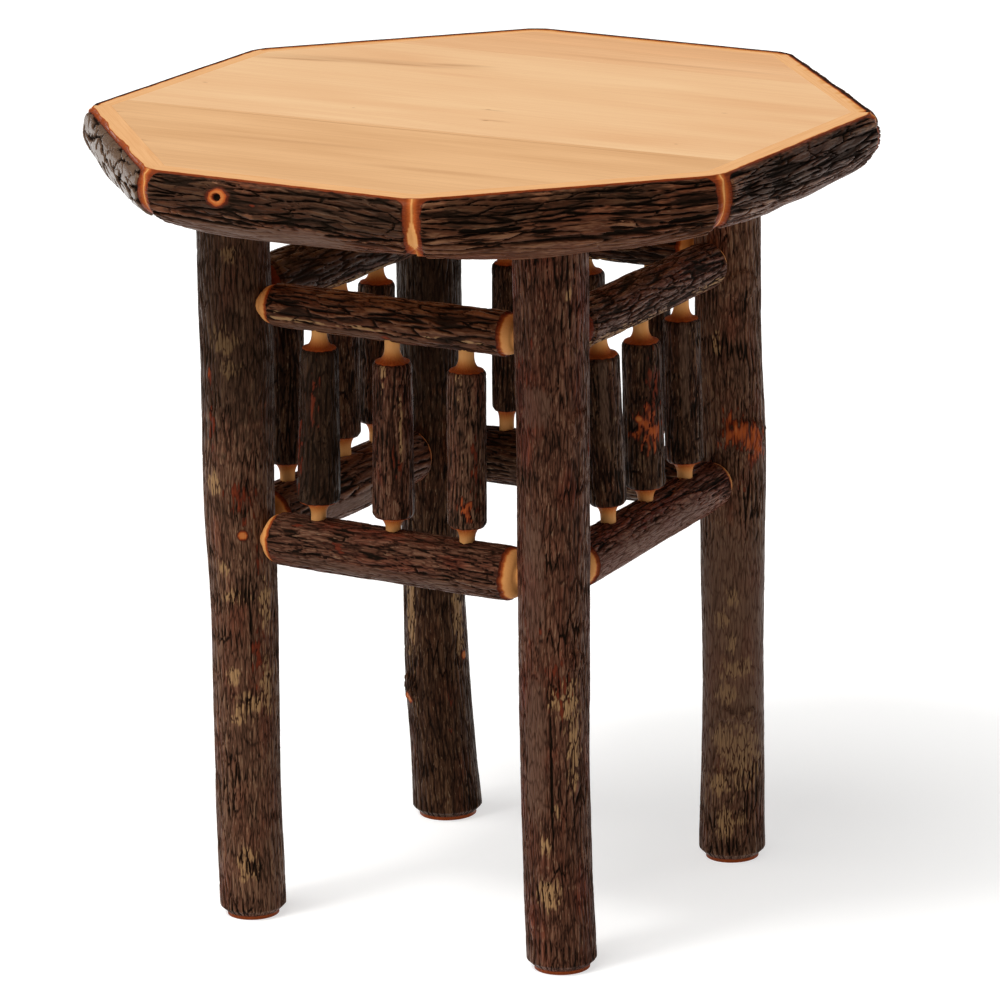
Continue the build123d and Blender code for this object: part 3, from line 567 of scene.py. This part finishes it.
def make_edge_log(side, number, ends, material, plate, fissured, marks):
    """A half log. Its section runs out along the planed strip, round part of an ellipse of bark at
    (depth * cosine, rise * sine) of a falling angle, and up the sawn back. Depth and rise change along
    the log by 1 - (along / half length)^2, and each end lies in its mitre plane, where the bark rounds
    over and stops."""
    seed = 40 + 11 * number
    scaly = fissured == 0           # old bark in flat scales, with open gaps and a waney edge
    waney = 1 if scaly else 0.25

    # along the log: the size of its section at each row
    share = np.concatenate([(-1,), np.linspace(-end_row, end_row, edge_rows - 2), (1,)])[:, None]
    along = share * log_half
    from_end = log_half - np.abs(along)
    bow = 1 - (along / bow_half) ** 2
    depth, rise = (size + (np.where(share < 0, left, right) * (1 - bow) + middle * bow) * mm
                   for size, (right, middle, left) in zip((edge_log_depth, edge_log_rise), zip(*ends)))
    sink = rise * np.sqrt(1 - (flat_band / depth) ** 2)     # the ellipse's centre lies this far below the top

    # round the bark, each log's taken from another side of its sapling: its relief and marks, and where
    # it stops short of the strip and the mitres
    arc = np.linspace(0, 1, bark_columns)[None, :]
    start_angle = np.arcsin(sink / rise)
    angle = start_angle - arc * (start_angle + pi / 2)
    arc_length = (start_angle + pi / 2) * (depth + rise) / 2
    girth = arc_length.mean() / bark_wrap
    width, length, crack = (value * mm for value in plate)
    relief = bark_relief(0.13 * number + arc * bark_wrap, along, girth, seed, width, length, crack, fissured)
    if scaly:
        relief = smooth(0.1, 0.62, relief)
    relief, spots, patina, wear_and_painted_light, lift = add_marks(marks, arc, along, arc_length.mean(), seed, relief)
    from_edge = (arc * arc_length + 0.5 * mm * drift(0.0, along / (6 * mm) + 64, endless, seed + 8)
                 - edge_band * (scaly_band if scaly else 1))
    from_mitre = from_end + 1.2 * mm * drift(arc * 12, np.sign(along) * 3.3, endless, seed + 3) - end_band
    inside = corner_round - np.hypot(np.clip(corner_round - from_edge, 0, None),
                                     np.clip(corner_round - from_mitre, 0, None))
    is_bark = smooth(0, 1.4 * mm, inside)

    # height of the skin over the ellipse, laid on along its normal
    rounding = smooth(0, 1, 1 - from_end / rounded_length) ** 2
    relief_height = (relief - edge_mean_relief) * edge_bark_height * smooth(0, 0.06, arc)
    height = (relief_height * smooth(0, 3 * mm, inside)
              - edge_bark_step * (1 - is_bark) * smooth(0, 0.04, arc)
              - rounded_drop * rounding * smooth(0.02, 0.2, arc) + lift
              + 1.2 * mm * drift(arc * 3, along / (60 * mm), endless, seed + 9) * smooth(0, 0.2, arc))
    height = height * smooth(0, 0.03, 1 - arc)
    normal_out, normal_up = np.cos(angle) / depth, np.sin(angle) / rise
    stretch = np.hypot(normal_out, normal_up)
    strip_out = planed_strip(along, from_end, waney, seed)
    arc_out = np.maximum(depth * np.cos(angle) + height * normal_out / stretch, 0)
    arc_out += (strip_out[:, -1:] - arc_out[:, :1]) * (1 - smooth(0, 0.06, arc))
    arc_up = rise * np.sin(angle) - sink + height * normal_up / stretch
    arc_up = np.minimum(arc_up, -0.02 * mm - 0.6 * mm * smooth(0, 0.03, arc))

    # the whole section in its place: out from the boards, up from the top, and sideways to the mitres
    back = np.linspace(0, 1, back_columns + 2)[None, 1:-1]
    sawn_back = np.ones((edge_rows, back_columns))
    out = np.concatenate([strip_out, arc_out, (joint_gap - glue_line) * sawn_back], axis=1)
    up = np.concatenate([0 * strip_out, arc_up, arc_up[:, -1:] * (1 - back)], axis=1)
    sideways = share * ((panel_apothem + out) * tan(half_mitre) - joint_gap / 2 / cos(half_mitre))
    facing = 2 * half_mitre * number
    outward, rightward = np.array((cos(facing), sin(facing), 0)), np.array((-sin(facing), cos(facing), 0))
    rings = (outward * (panel_apothem + out)[..., None] + rightward * sideways[..., None]
             + np.array((0, 0, 1)) * (table_height + up)[..., None])

    # looks, over the same three stretches of the section
    wedge = np.array(mitre_wedges)[(number - (share < 0)) % 8] * mm
    peel_strip = strip_peel(strip_out, along, bark_rims[number] * mm, seed + 15)
    peel_bark = np.maximum(end_peel(arc, arc_length, from_end, wedge, waney) * (1 - is_bark), spots)
    patina, wear_and_painted_light = (np.pad(values, ((0, 0), (strip.size, back_columns))) for values in (patina, wear_and_painted_light))
    looks = {"relief": np.concatenate([0.5 + 0 * strip_out, relief, sawn_back], axis=1),
             "peel": np.concatenate([peel_strip, peel_bark, sawn_back], axis=1),
             "patina": patina, "wear_and_painted_light": wear_and_painted_light,
             "log_place": np.stack(np.broadcast_arrays(out, up, sideways + number), axis=-1)}
    piece = skin(f"half_log_{side}", rings, looks, material)
    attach(piece, "root")
    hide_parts(f"edge_log_{side}")


for number, (side, (*ends, material, plate, fissured, marks)) in enumerate(edge_logs.items()):
    make_edge_log(side, number, ends, material, plate, fissured, marks)

# ---------------------------------------------------------------- dowels, battens and screws
# Birch dowel pins hold the half logs to the boards. Two planed battens keep the boards flat, held by
# countersunk wood screws; lag screws go down through them into the poles. All screws are zinc-plated.
batten_grain_width, batten_grain_length = 1.8 * mm, 90 * mm
zinc_crystal = 1.5 * mm         # drawn coarser than it is, so that it shows


def plain_wood(name, light, dark, run):
    """Planed or turned wood, sealed but not lacquered: dull, with a noise drawn out along the run of the
    grain, which sets its tone."""
    material, output = new_material(name)
    place = node(material, "TexCoord").outputs["Object"]
    scale = [1 / batten_grain_length if axis == run else 1 / batten_grain_width for axis in range(3)]
    lines = node(material, "Mapping", Vector=place, Scale=scale)
    grain = node(material, "TexNoise", Vector=lines, Scale=1.0, Detail=3.0)
    share = node(material, "MapRange", Value=grain, From_Min=0.35, From_Max=0.7)
    tone = node(material, "Mix", colour_mix, share, linear(light), linear(dark))
    bump = node(material, "Bump", Height=grain, Strength=0.15, Distance=0.3 * mm)
    shader = node(material, "BsdfPrincipled", Base_Color=tone, Roughness=0.5, Normal=bump)
    material.node_tree.links.new(shader.outputs[0], output.inputs[0])
    return material


def zinc_steel():
    """Bright zinc plate on steel: a fine crystalline grain makes its sheen slightly uneven."""
    material, output = new_material("bright_zinc_plated_steel")
    place = node(material, "TexCoord").outputs["Object"]
    crystal = node(material, "TexVoronoi", Vector=place, Scale=1 / zinc_crystal).outputs["Color"]
    roughness = node(material, "MapRange", Value=crystal, To_Min=0.25, To_Max=0.4)
    tone = node(material, "Mix", colour_mix, crystal, linear("#B9BCBC"), linear("#A7A9A6"))
    shader = node(material, "BsdfPrincipled", Base_Color=tone, Roughness=roughness, Metallic=1.0)
    material.node_tree.links.new(shader.outputs[0], output.inputs[0])
    return material


batten_wood = plain_wood("planed_sealed_pine", "#C99B6A", "#A87647", 1)
dowel_wood = plain_wood("turned_birch", "#DDB98C", "#C79E6E", 2)
zinc = zinc_steel()
for name, material, slot in (("batten_left", batten_wood, "batten_wood"),
                             ("batten_right", batten_wood, "batten_wood"),
                             ("edge_dowels", dowel_wood, "dowel_wood"),
                             ("batten_screws", zinc, "zinc_plated_screws"),
                             ("leg_lag_screws", zinc, "zinc_plated_screws")):
    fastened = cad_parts[name]
    fastened.data.materials.clear()
    fastened.data.materials.append(material)

# ---------------------------------------------------------------- legs
# Four hickory poles with their bark on, each with its own bend, knots and patches of lichen. The
# foot is chamfered with a drawknife, down to a narrow peeled band round the sawn sole.
leg_spacing, leg_diameter = 290 * mm, 54.5 * mm
leg_length = 615 * mm
leg_corner = {"front_left": (-1, -1), "front_right": (1, -1), "back_right": (1, 1), "back_left": (-1, 1)}
leg_rows, leg_columns = 310, 250
foot_rows, foot_length = 19, 12 * mm            # closer rows over the foot
foot_chamfer_in, foot_chamfer_up, foot_peel = 5.5 * mm, 8 * mm, 2.5 * mm
leg_plate = (4.6 * mm, 40 * mm, 0.8 * mm)       # width, length and cracks of its bark's plates
leg_bark_height = 1.7 * mm
leg_swells = 0.6 * mm, 90 * mm                  # height and length of its gentle swells
pole_mean_relief = 0.72                         # the level of bark that lies on a pole's radius
# Each pole: its stations from the foot up, as (share of the length, shift in x, shift in y,
# swelling of the radius); its bark; and its marks, as (kind, share of the turn, height in mm, half
# width and half height in mm).
# Dark marks over the upper halves are painted shade under the table top, and wear marks are made paler with
# painted light as well as smoothed.
legs = {
    "front_left": ([(0, -2.5, -1.5, -0.5), (0.16, -3, -2, -0.5), (0.455, -0.5, -0.5, 0),
                    (0.59, -2, -1.5, 1.5), (0.73, 0, 0, 2), (1, 0.5, 0.5, 2)], brown_bark,
                   [("dark", 0.85, 560, 120, 150), ("lichen", 0.83, 565, 6, 7), ("lichen", 0.79, 492, 10, 11),
                    ("lichen", 0.82, 470, 7, 7), ("scar", 0.708, 462, 1.6, 7), ("flame", 0.72, 425, 5, 30),
                    ("flame", 0.85, 362, 14, 28), ("knot", 0.852, 330, 4, 4), ("flame", 0.924, 308, 3, 12),
                    ("lichen", 0.748, 302, 4, 6), ("lichen", 0.72, 372, 6, 8), ("lichen", 0.81, 278, 12, 5),
                    ("lichen", 0.95, 270, 5, 18), ("crack", 0.872, 254, 0.8, 32),
                    ("lichen", 0.784, 212, 5, 7), ("lichen", 0.86, 186, 12, 9), ("lichen", 0.8, 176, 5, 5),
                    ("lichen", 0.95, 200, 5, 22),
                    ("flame", 0.9, 230, 8, 30), ("lichen", 0.83, 50, 9, 14),
                    ("lichen", 0.4, 520, 9, 12), ("flame", 0.33, 430, 6, 22), ("lichen", 0.5, 330, 8, 9),
                    ("knot", 0.3, 205, 4, 5), ("lichen", 0.42, 120, 11, 14), ("wear_and_painted_light", 0.35, 300, 9, 60)]),
    "front_right": ([(0, 2, 2, 0.8), (0.1, 0.5, 1.5, 0.3), (0.245, 0, 0.5, 0),
                     (0.49, 2.5, 1.5, 1), (0.715, 4.5, 3, 1.6), (1, 6, 4, 2.8)], red_bark,
                    [("lichen", 0.912, 560, 2, 5), ("flame", 0.672, 501, 5, 12),
                     ("flame", 0.744, 518, 2, 10), ("swelling", 0.97, 454, 10, 12),
                     ("flame", 0.04, 432, 4, 16),
                     ("wear_and_painted_light", 0.76, 470, 12, 16), ("wear_and_painted_light", 0.74, 330, 9, 50), ("flame", 0.78, 287, 3, 4),
                     ("flame", 0.81, 290, 3, 4), ("lichen", 0.9, 228, 8, 17), ("lichen", 0.83, 232, 4, 9),
                     ("lichen", 0.93, 185, 5, 26), ("wear_and_painted_light", 0.74, 190, 10, 60), ("swelling", 0.95, 262, 8, 8),
                     ("flame", 0.86, 240, 10, 30), ("lichen", 0.844, 139, 2.5, 6),
                     ("lichen", 0.785, 110, 4, 8),
                     ("lichen", 0.79, 69, 9, 11), ("crack", 0.82, 160, 0.9, 60),
                     ("lichen", 0.28, 480, 7, 10), ("knot", 0.42, 395, 4, 4), ("flame", 0.38, 250, 6, 24),
                     ("lichen", 0.3, 160, 10, 12), ("lichen", 0.2, 90, 8, 9)]),
    "back_right": ([(0, -14, 15.5, 0.5), (0.1, -11.5, 14.5, -0.8), (0.26, -9, 13, -2),
                    (0.44, -6, 11.5, -1), (0.56, -4, 11, 0.7), (0.7, -6, 10, -0.5),
                    (1, -5, 10.5, 0.3)], brown_bark,
                   [("swelling", 0.9, 500, 16, 12), ("crack", 0.92, 485, 1, 14),
                    ("lichen", 0.772, 450, 4, 9), ("swelling", 0.9, 372, 22, 14),
                    ("wear_and_painted_light", 0.85, 190, 40, 110),
                    ("blaze", 0.86, 378, 13, 14), ("blaze", 0.94, 370, 12, 13),
                    ("blaze", 0.97, 360, 9, 11), ("flame", 0.93, 346, 5, 12), ("flame", 0.88, 332, 5, 12),
                    ("lichen", 0.83, 235, 5, 8), ("lichen", 0.78, 215, 6, 7), ("lichen", 0.83, 195, 4, 8),
                    ("lichen", 0.86, 172, 15, 7), ("lichen", 0.8, 150, 8, 8), ("swelling", 0.8, 132, 8, 6),
                    ("swelling", 0.92, 130, 8, 6), ("lichen", 0.88, 96, 18, 26), ("lichen", 0.77, 112, 8, 10),
                    ("lichen", 0.76, 70, 8, 8), ("lichen", 0.8, 36, 7, 14), ("lichen", 0.88, 40, 4, 7),
                    ("lichen", 0.3, 460, 8, 8), ("flame", 0.36, 360, 7, 14), ("lichen", 0.45, 210, 9, 13),
                    ("lichen", 0.22, 110, 10, 10), ("crack", 0.33, 290, 0.9, 40)]),
    "back_left": ([(0, 3, 3.5, 3), (0.073, 1, 2.5, 1), (0.195, -2, 0, 0), (0.325, -2.5, -1, -1.5),
                   (0.535, -1, -1, -0.5), (0.765, 1, 0.5, 0), (1, 1, 1, 0)], painted_shade_bark,
                  [("dark", 0.85, 520, 120, 160), ("knot", 0.672, 108, 4, 5), ("swelling", 0.672, 118, 8, 10),
                   ("knot", 0.0, 145, 3, 4), ("flame", 0.9, 110, 3, 12), ("lichen", 0.7, 190, 5, 40),
                   ("lichen", 0.98, 190, 6, 40), ("flame", 0.868, 82, 6, 3),
                   ("lichen", 0.38, 500, 8, 10), ("lichen", 0.3, 410, 6, 8), ("flame", 0.45, 330, 6, 20),
                   ("knot", 0.36, 240, 4, 5), ("lichen", 0.28, 130, 12, 14), ("lichen", 0.5, 60, 7, 9)]),
}


def eased(share, stations, column):
    """Running mean, over a twentieth of the length each way, of the straight lines between stations."""
    table = np.array(stations)
    window = share[..., None] + np.linspace(-0.05, 0.05, 9)
    return np.interp(window, table[:, 0], table[:, column]).mean(-1) * mm


def leg_centre(leg, height):
    """Points on a pole's axis, at an array of heights."""
    side_x, side_y = leg_corner[leg]
    share = np.asarray(height) / leg_length
    stations = legs[leg][0]
    return np.stack([side_x * leg_spacing / 2 + eased(share, stations, 1),
                     side_y * leg_spacing / 2 + eased(share, stations, 2), np.asarray(height)], axis=-1)


def leg_radius(leg, height):
    """Radius of a pole's bark at an array of heights."""
    return leg_diameter / 2 + eased(np.asarray(height) / leg_length, legs[leg][0], 3)


def gentle_swells(turn, along, height, length, seed):
    """Slow swells of a round log, three to a turn: height * drift at (3 * turn, along / length)."""
    return height * drift(turn * 3, along / length, 3, seed + 20)


def round_looks(turn, radius, along, relief, peel, patina, wear_and_painted_light):
    """The looks of a round log, with the places that its bark's patterns follow: (radius * cosine,
    radius * sine, along), as if the log were straight."""
    across, depth = radius * np.cos(2 * pi * turn), radius * np.sin(2 * pi * turn)
    log_place = np.stack(np.broadcast_arrays(across, depth, along), axis=-1)
    return {"relief": relief, "peel": peel, "patina": patina, "wear_and_painted_light": wear_and_painted_light, "log_place": log_place}


def make_leg(leg, marks, material, seed):
    """A pole: at each height, its axis + (radius + bark - foot chamfer) * (cosine, sine of the turn)."""
    heights = np.concatenate([np.linspace(0, foot_length, foot_rows, endpoint=False),
                              np.linspace(foot_length, leg_length, leg_rows - foot_rows)])[:, None]
    turn = np.arange(leg_columns)[None, :] / leg_columns
    girth = pi * leg_diameter
    relief = bark_relief(turn, heights, girth, seed, *leg_plate, fissured=0.15, closed=0.35)
    relief, spots, patina, wear_and_painted_light, lift = add_marks(marks, turn, heights, girth, seed, relief)
    drawn_in = 1 - np.clip((heights - foot_peel) / (foot_chamfer_up - foot_peel), 0, 1)
    bark = ((relief - pole_mean_relief) * leg_bark_height + lift
            + gentle_swells(turn, heights, *leg_swells, seed))
    above_foot = smooth(foot_peel, 10 * mm, heights)
    radius = leg_radius(leg, heights) + bark * above_foot - foot_chamfer_in * drawn_in
    around = np.stack([np.cos(2 * pi * turn), np.sin(2 * pi * turn), 0 * turn], axis=-1)
    rings = leg_centre(leg, heights) + around * radius[..., None]
    ragged = heights + 0.5 * mm * drift(turn * 30, 0.0, 30, seed)
    sole = 0.46 * smooth(foot_peel + 1.5 * mm, foot_peel, ragged)
    looks = round_looks(turn, radius, heights + seed, relief, np.maximum(sole, spots), patina, wear_and_painted_light)
    piece = skin(f"pole_{leg}", rings, looks, material)
    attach(piece, "root")
    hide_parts(f"leg_{leg}")


for number, (leg, (_, material, marks)) in enumerate(legs.items()):
    make_leg(leg, marks, material, 200 + 13 * number)

# ---------------------------------------------------------------- rails
# Upper and lower rails are hickory poles with their bark on too. Each end is peeled and rounded to a
# dome, with a round tenon glued into its leg; a ragged ring of red inner bark edges the dome.
rail_tenon_radius, rail_dome_length = 11 * mm, 10 * mm
bark_step = 1.5 * mm                        # how far the peeled wood lies below the bark
tenon_stop = 13.5 * mm                      # from a tenon's end to its leg's axis
shoulder_gap = 0.8 * mm                     # from a dome's foot to its leg
rail_columns = 140
rail_plate, rail_bark_height = (5.5 * mm, 42 * mm, 1.0 * mm), 2.2 * mm
rail_swells = 0.5 * mm, 70 * mm
rail_fissured = {"upper_rail": 0.8, "lower_rail": 0.3}
# Each rail: leg at its start, leg at its end, lift at the start and end, swelling of its radius at
# the start, middle and end; its bark; and its marks, round the rail from the top through the side
# that faces out at a quarter, and along from the start.
# Wear marks low on the rails are made paler with a painted sheen of floor light, and the dark mark on the
# left upper rail is painted shade.
rails = {
    "upper_rail": (519 * mm, 37 * mm, {
        "front": ("front_left", "front_right", 0.5, -1, -1, -1, -0.5, ridged_bark,
                  [("lichen", 0.26, 50, 1, 22), ("lichen", 0.31, 62, 1.6, 30),
                   ("wear_and_painted_light", 0.38, 100, 4, 90), ("lichen", 0.3, 130, 1.4, 14), ("flame", 0.37, 150, 5, 9),
                   ("lichen", 0.3, 215, 1.2, 28)]),
        "right": ("front_right", "back_right", 1, 0.5, 0.5, 1.5, 0, red_bark,
                  [("lichen", 0.38, 95, 6, 62), ("lichen", 0.34, 235, 4, 30)]),
        "back": ("back_left", "back_right", 3, 4, -0.5, -0.5, 0, painted_shade_bark, [("lichen", 0.6, 120, 3, 60)]),
        "left": ("front_left", "back_left", 5, -1, 4, 4, 1, ridged_bark,
                 [("dark", 0.9, 140, 34, 160), ("lichen", 0.62, 170, 3, 60)])}),
    "lower_rail": (324 * mm, 43 * mm, {
        "front": ("front_left", "front_right", 1, -1.5, 0, 0.5, 0, red_bark,
                  [("wear_and_painted_light", 0.34, 130, 7, 90), ("flame", 0.1, 60, 3, 20), ("flame", 0.2, 105, 6, 12)]),
        "right": ("front_right", "back_right", 0.5, 12, -1.5, -1.5, -2, russet_bark,
                  [("wear_and_painted_light", 0.3, 110, 16, 120), ("flame", 0.15, 130, 6, 40)]),
        "back": ("back_left", "back_right", 1.5, 1.5, 2, 3, 2, painted_shade_bark, []),
        "left": ("front_left", "back_left", 3, 3, 3, 4, 2, ridged_bark, [("wear_and_painted_light", 0.7, 140, 7, 60)])}),
}
painted_shade_domes = (("upper_rail", "right"), ("upper_rail", "left"))      # painted shade: the domes at their first ends are darkened to dark inner bark


def rail_line(kind, side):
    """A rail's two ends, on the axes of its legs."""
    height, _, sides = rails[kind]
    start, end, lift_start, lift_end = sides[side][:4]
    return leg_centre(start, height + lift_start * mm), leg_centre(end, height + lift_end * mm)


def rail_radius(kind, side, share):
    """A rail's radius at a share of its length."""
    _, diameter, sides = rails[kind]
    return diameter / 2 + np.interp(share, (0, 0.5, 1), sides[side][4:7]) * mm


def round_rings(start, along, places, turn, radius):
    """Rings round a straight axis: radius * (cosine of the turn * top + sine of the turn * side),
    where top points up from a level axis, and to +x from an upright one."""
    top = np.array((0, 0, 1.0)) if abs(along[2]) < 0.5 else np.array((1.0, 0, 0))
    top -= along * (top @ along)
    top /= np.linalg.norm(top)
    around = np.cos(2 * pi * turn)[..., None] * top + np.sin(2 * pi * turn)[..., None] * np.cross(along, top)
    return start + along * places[..., None] + around * radius[..., None]


def end_rows(*marks):
    """Row places along a log: each mark is (place, step to the next mark), and the step is rounded so
    that whole steps fill each stretch."""
    rows = [np.linspace(place, following[0], round((following[0] - place) / step), endpoint=False)
            for (place, step), following in zip(marks, marks[1:])]
    return np.concatenate([*rows, [marks[-1][0]]])[:, None]


def make_rail(kind, side, material, marks, seed):
    """A rail: bark barrel, bark ring cut back, dome and tenon, set out from both ends. The dome is a
    quarter ellipse, tenon + (barrel - tenon) * the square root of 1 - (place / dome length)^2."""
    start, end = rail_line(kind, side)
    length = np.linalg.norm(end - start)
    along = (end - start) / length
    first, last = rails[kind][2][side][:2]
    face = (leg_radius(first, start[2]) + shoulder_gap, leg_radius(last, end[2]) + shoulder_gap)
    bark_from, bark_to = face[0] + rail_dome_length, length - face[1] - rail_dome_length
    rows = end_rows((tenon_stop, 4 * mm), (face[0] - 1 * mm, 0.8 * mm), (bark_from - 3 * mm, 0.5 * mm),
                    (bark_from + 5 * mm, 1.5 * mm), (bark_to - 5 * mm, 0.5 * mm),
                    (bark_to + 3 * mm, 0.8 * mm), (length - face[1] + 1 * mm, 4 * mm),
                    (length - tenon_stop, None))
    turn = np.arange(rail_columns)[None, :] / rail_columns
    barrel = rail_radius(kind, side, rows / length)
    girth = 2 * pi * barrel.mean()
    relief = bark_relief(turn, rows, girth, seed, *rail_plate, rail_fissured[kind])
    outer_side = 1 if side in ("front", "right") else -1
    relief, spots, patina, wear_and_painted_light, lift = add_marks(marks, outer_side * turn, rows, girth, seed, relief)

    inside = np.minimum(rows - bark_from, bark_to - rows)
    second_end = rows > length / 2
    ragged = (0.8 * mm * drift(turn * 34, second_end * 7.3, 34, seed + 2)
              + 0.8 * mm * drift(turn * 7, second_end * 5.3, 7, seed + 3))
    is_bark = smooth(-0.4 * mm, 0.4 * mm, inside + ragged)
    dome_share = np.sqrt(np.clip(1 - (np.clip(-inside, 0, None) / rail_dome_length) ** 2, 0, 1))
    dome = rail_tenon_radius + (barrel - bark_step - rail_tenon_radius) * dome_share
    bark = (barrel + (relief - pole_mean_relief) * rail_bark_height * smooth(0, 5 * mm, inside) + lift
            + gentle_swells(turn, rows, *rail_swells, seed))
    radius = dome * (1 - is_bark) + bark * is_bark

    peel = 0.82 - 0.4 * smooth(-4.2 * mm, -1.2 * mm, inside + ragged)
    # painted shade on the domes at the first ends of these rails
    peel = peel - 0.5 * ((kind, side) in painted_shade_domes) * (rows < length / 2)
    peel = np.maximum(peel - 0.5 * smooth(-0.6 * mm, 2.6 * mm, inside + 1.5 * ragged), spots)
    looks = round_looks(turn, radius, rows + seed, relief, peel, patina, wear_and_painted_light)
    piece = skin(f"pole_{kind}_{side}", round_rings(start, along, rows, turn, radius), looks, material)
    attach(piece, "root")
    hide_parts(f"{kind}_{side}")


for kind, first_seed in (("upper_rail", 400), ("lower_rail", 500)):
    for number, (side, (*_, material, marks)) in enumerate(rails[kind][2].items()):
        make_rail(kind, side, material, marks, first_seed + 17 * number)

# ---------------------------------------------------------------- spindles
# Short bark-on hickory sticks, three to a side. A tenon cutter leaves a straight pale neck, a trumpet
# flare and a rounded rim at both ends; the necks are glued into the rails.
spindle_diameter, spindle_neck_radius = 31 * mm, 6.25 * mm
flare_length, spindle_rim = 10.5 * mm, 1.5 * mm
spindle_gap_below, spindle_gap_above = 15 * mm, 14.5 * mm   # from the rails to the bark
spindle_tenon_depth = 13 * mm
spindle_columns = 104
spindle_plate, spindle_bark_height = (4.5 * mm, 40 * mm, 0.8 * mm), 1.2 * mm
spindle_swells = 0.35 * mm, 50 * mm
spindle_edge_length, spindle_edge_drop = 3 * mm, 1.2 * mm   # rounding of the bark at both ends
# Each spindle: shift along the rails at the bottom and top, lift of its bark, swelling of its
# radius at the bottom and top; its bark; and its marks, round from +x and up from the lower rail.
# The dark mark is painted shade, and wear marks are made paler with painted light.
spindles = {
    "front": [(1, 6.5, 0.5, 2, -0.3, painted_shade_bark, [("dark", 0.85, 120, 60, 130), ("flame", 0.64, 78, 7, 42),
                                                ("flame", 0.8, 120, 5, 26), ("lichen", 0.82, 168, 4, 5)]),
              (-1.5, 1, -3, 1.3, 0.2, red_bark, [("lichen", 0.75, 158, 3, 15), ("lichen", 0.9, 105, 1, 30),
                                                ("flame", 0.86, 80, 6, 20)]),
              (-6, -4, -2, 0, 0, brown_bark, [("blaze", 0.84, 52, 8, 7), ("flame", 0.92, 90, 5, 40),
                                           ("lichen", 0.76, 158, 2.5, 14)])],
    "right": [(15, 1.5, 1.5, 0, 0, painted_shade_bark, [("wear_and_painted_light", 0.85, 130, 4, 40)]),
              (1.5, -3, -3, 1, 0.3, painted_shade_bark, [("blaze", 0.88, 84, 12, 16), ("flame", 0.94, 118, 9, 34),
                                               ("knot", 0.8, 92, 3, 3)]),
              (-7, -7.5, -1, 0, -0.4, painted_shade_bark, [("wear_and_painted_light", 0.85, 120, 4, 45)])],
    "back": [(1.5, 5, 2.5, -3.5, -3.5, painted_shade_bark, []),
             (8, 8, 2.5, 1, 1, painted_shade_bark, [("flame", 0.3, 100, 4, 30)]),
             (0, 0, 1.5, -0.5, -0.5, painted_shade_bark, [])],
    "left": [(-3, 0, 1, 0, -0.3, painted_shade_bark, []),
             (10, 8, 2, -1, -1, painted_shade_bark, [("knot", 0.5, 110, 3, 3)]),
             (-13, -7, 2.5, 0, 0, painted_shade_bark, [])],
}


def make_spindle(side, number, values, seed):
    """A spindle: the same bark barrel at a smaller size, with flares and necks turned at both ends. The
    rim is a quarter circle, and the flare a quarter ellipse from the neck to the shoulder."""
    shift_low, shift_high, raised, swell_low, swell_high, material, marks = values
    ends, crowns = [], []
    for kind, shift in (("lower_rail", shift_low), ("upper_rail", shift_high)):
        start, end = rail_line(kind, side)
        share = ((number + 1) * leg_spacing / 4 + shift * mm) / leg_spacing
        ends.append(start + (end - start) * share)
        crowns.append(rail_radius(kind, side, share))
    foot, head = ends
    length = np.linalg.norm(head - foot)
    along = (head - foot) / length
    bark_from = crowns[0] + spindle_gap_below + raised * mm
    bark_to = length - crowns[1] - spindle_gap_above + raised * mm
    turned = spindle_rim + flare_length
    rows = end_rows((crowns[0] - spindle_tenon_depth, 4 * mm), (bark_from - turned - 1 * mm, 0.7 * mm),
                    (bark_from - 1 * mm, 0.4 * mm), (bark_from + 2 * mm, 1.5 * mm),
                    (bark_to - 2 * mm, 0.4 * mm), (bark_to + 1 * mm, 0.7 * mm),
                    (bark_to + turned + 1 * mm, 4 * mm), (length - crowns[1] + spindle_tenon_depth, None))
    turn = np.arange(spindle_columns)[None, :] / spindle_columns
    barrel = spindle_diameter / 2 + np.interp(rows, (bark_from, bark_to), (swell_low, swell_high)) * mm
    girth = pi * spindle_diameter
    relief = bark_relief(turn, rows, girth, seed, *spindle_plate, fissured=0.4, closed=0.1)
    relief, spots, patina, wear_and_painted_light, lift = add_marks(marks, turn, rows, girth, seed, relief)

    inside = np.minimum(rows - bark_from, bark_to - rows)
    ragged = 0.5 * mm * drift(turn * 22, (rows > length / 2) * 7.3, 22, seed + 2)
    is_bark = smooth(-0.3 * mm, 0.3 * mm, inside + ragged)
    shoulder = barrel - bark_step - spindle_rim
    out = np.clip(-inside, 0, turned)
    rim = shoulder + np.sqrt(np.clip(spindle_rim ** 2 - out ** 2, 0, None))
    flare_share = np.clip((turned - out) / flare_length, 0, 1)
    flare = shoulder - (shoulder - spindle_neck_radius) * np.sqrt(1 - flare_share ** 2)
    wood = np.where(out < spindle_rim, rim, flare)
    relief_height = (relief - pole_mean_relief) * spindle_bark_height * smooth(0, spindle_edge_length, inside)
    rounded_edge = spindle_edge_drop * np.clip(1 - inside / spindle_edge_length, 0, 1) ** 2
    bark = barrel + relief_height + lift - rounded_edge + gentle_swells(turn, rows, *spindle_swells, seed)
    radius = wood * (1 - is_bark) + bark * is_bark

    peel = 0.87 - 0.34 * smooth(-13 * mm, -1 * mm, inside)
    peel = np.maximum(peel - 0.45 * smooth(-0.9 * mm, 0.1 * mm, inside + ragged), spots)
    looks = round_looks(turn, radius, rows + seed, relief, peel, patina, wear_and_painted_light)
    piece = skin(f"stick_{side}_{number + 1}", round_rings(foot, along, rows, turn, radius), looks, material)
    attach(piece, "root")
    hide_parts(f"spindle_{side}_{number + 1}")


for side_number, (side, sticks) in enumerate(spindles.items()):
    for number, values in enumerate(sticks):
        make_spindle(side, number, values, 700 + 31 * side_number + 7 * number)
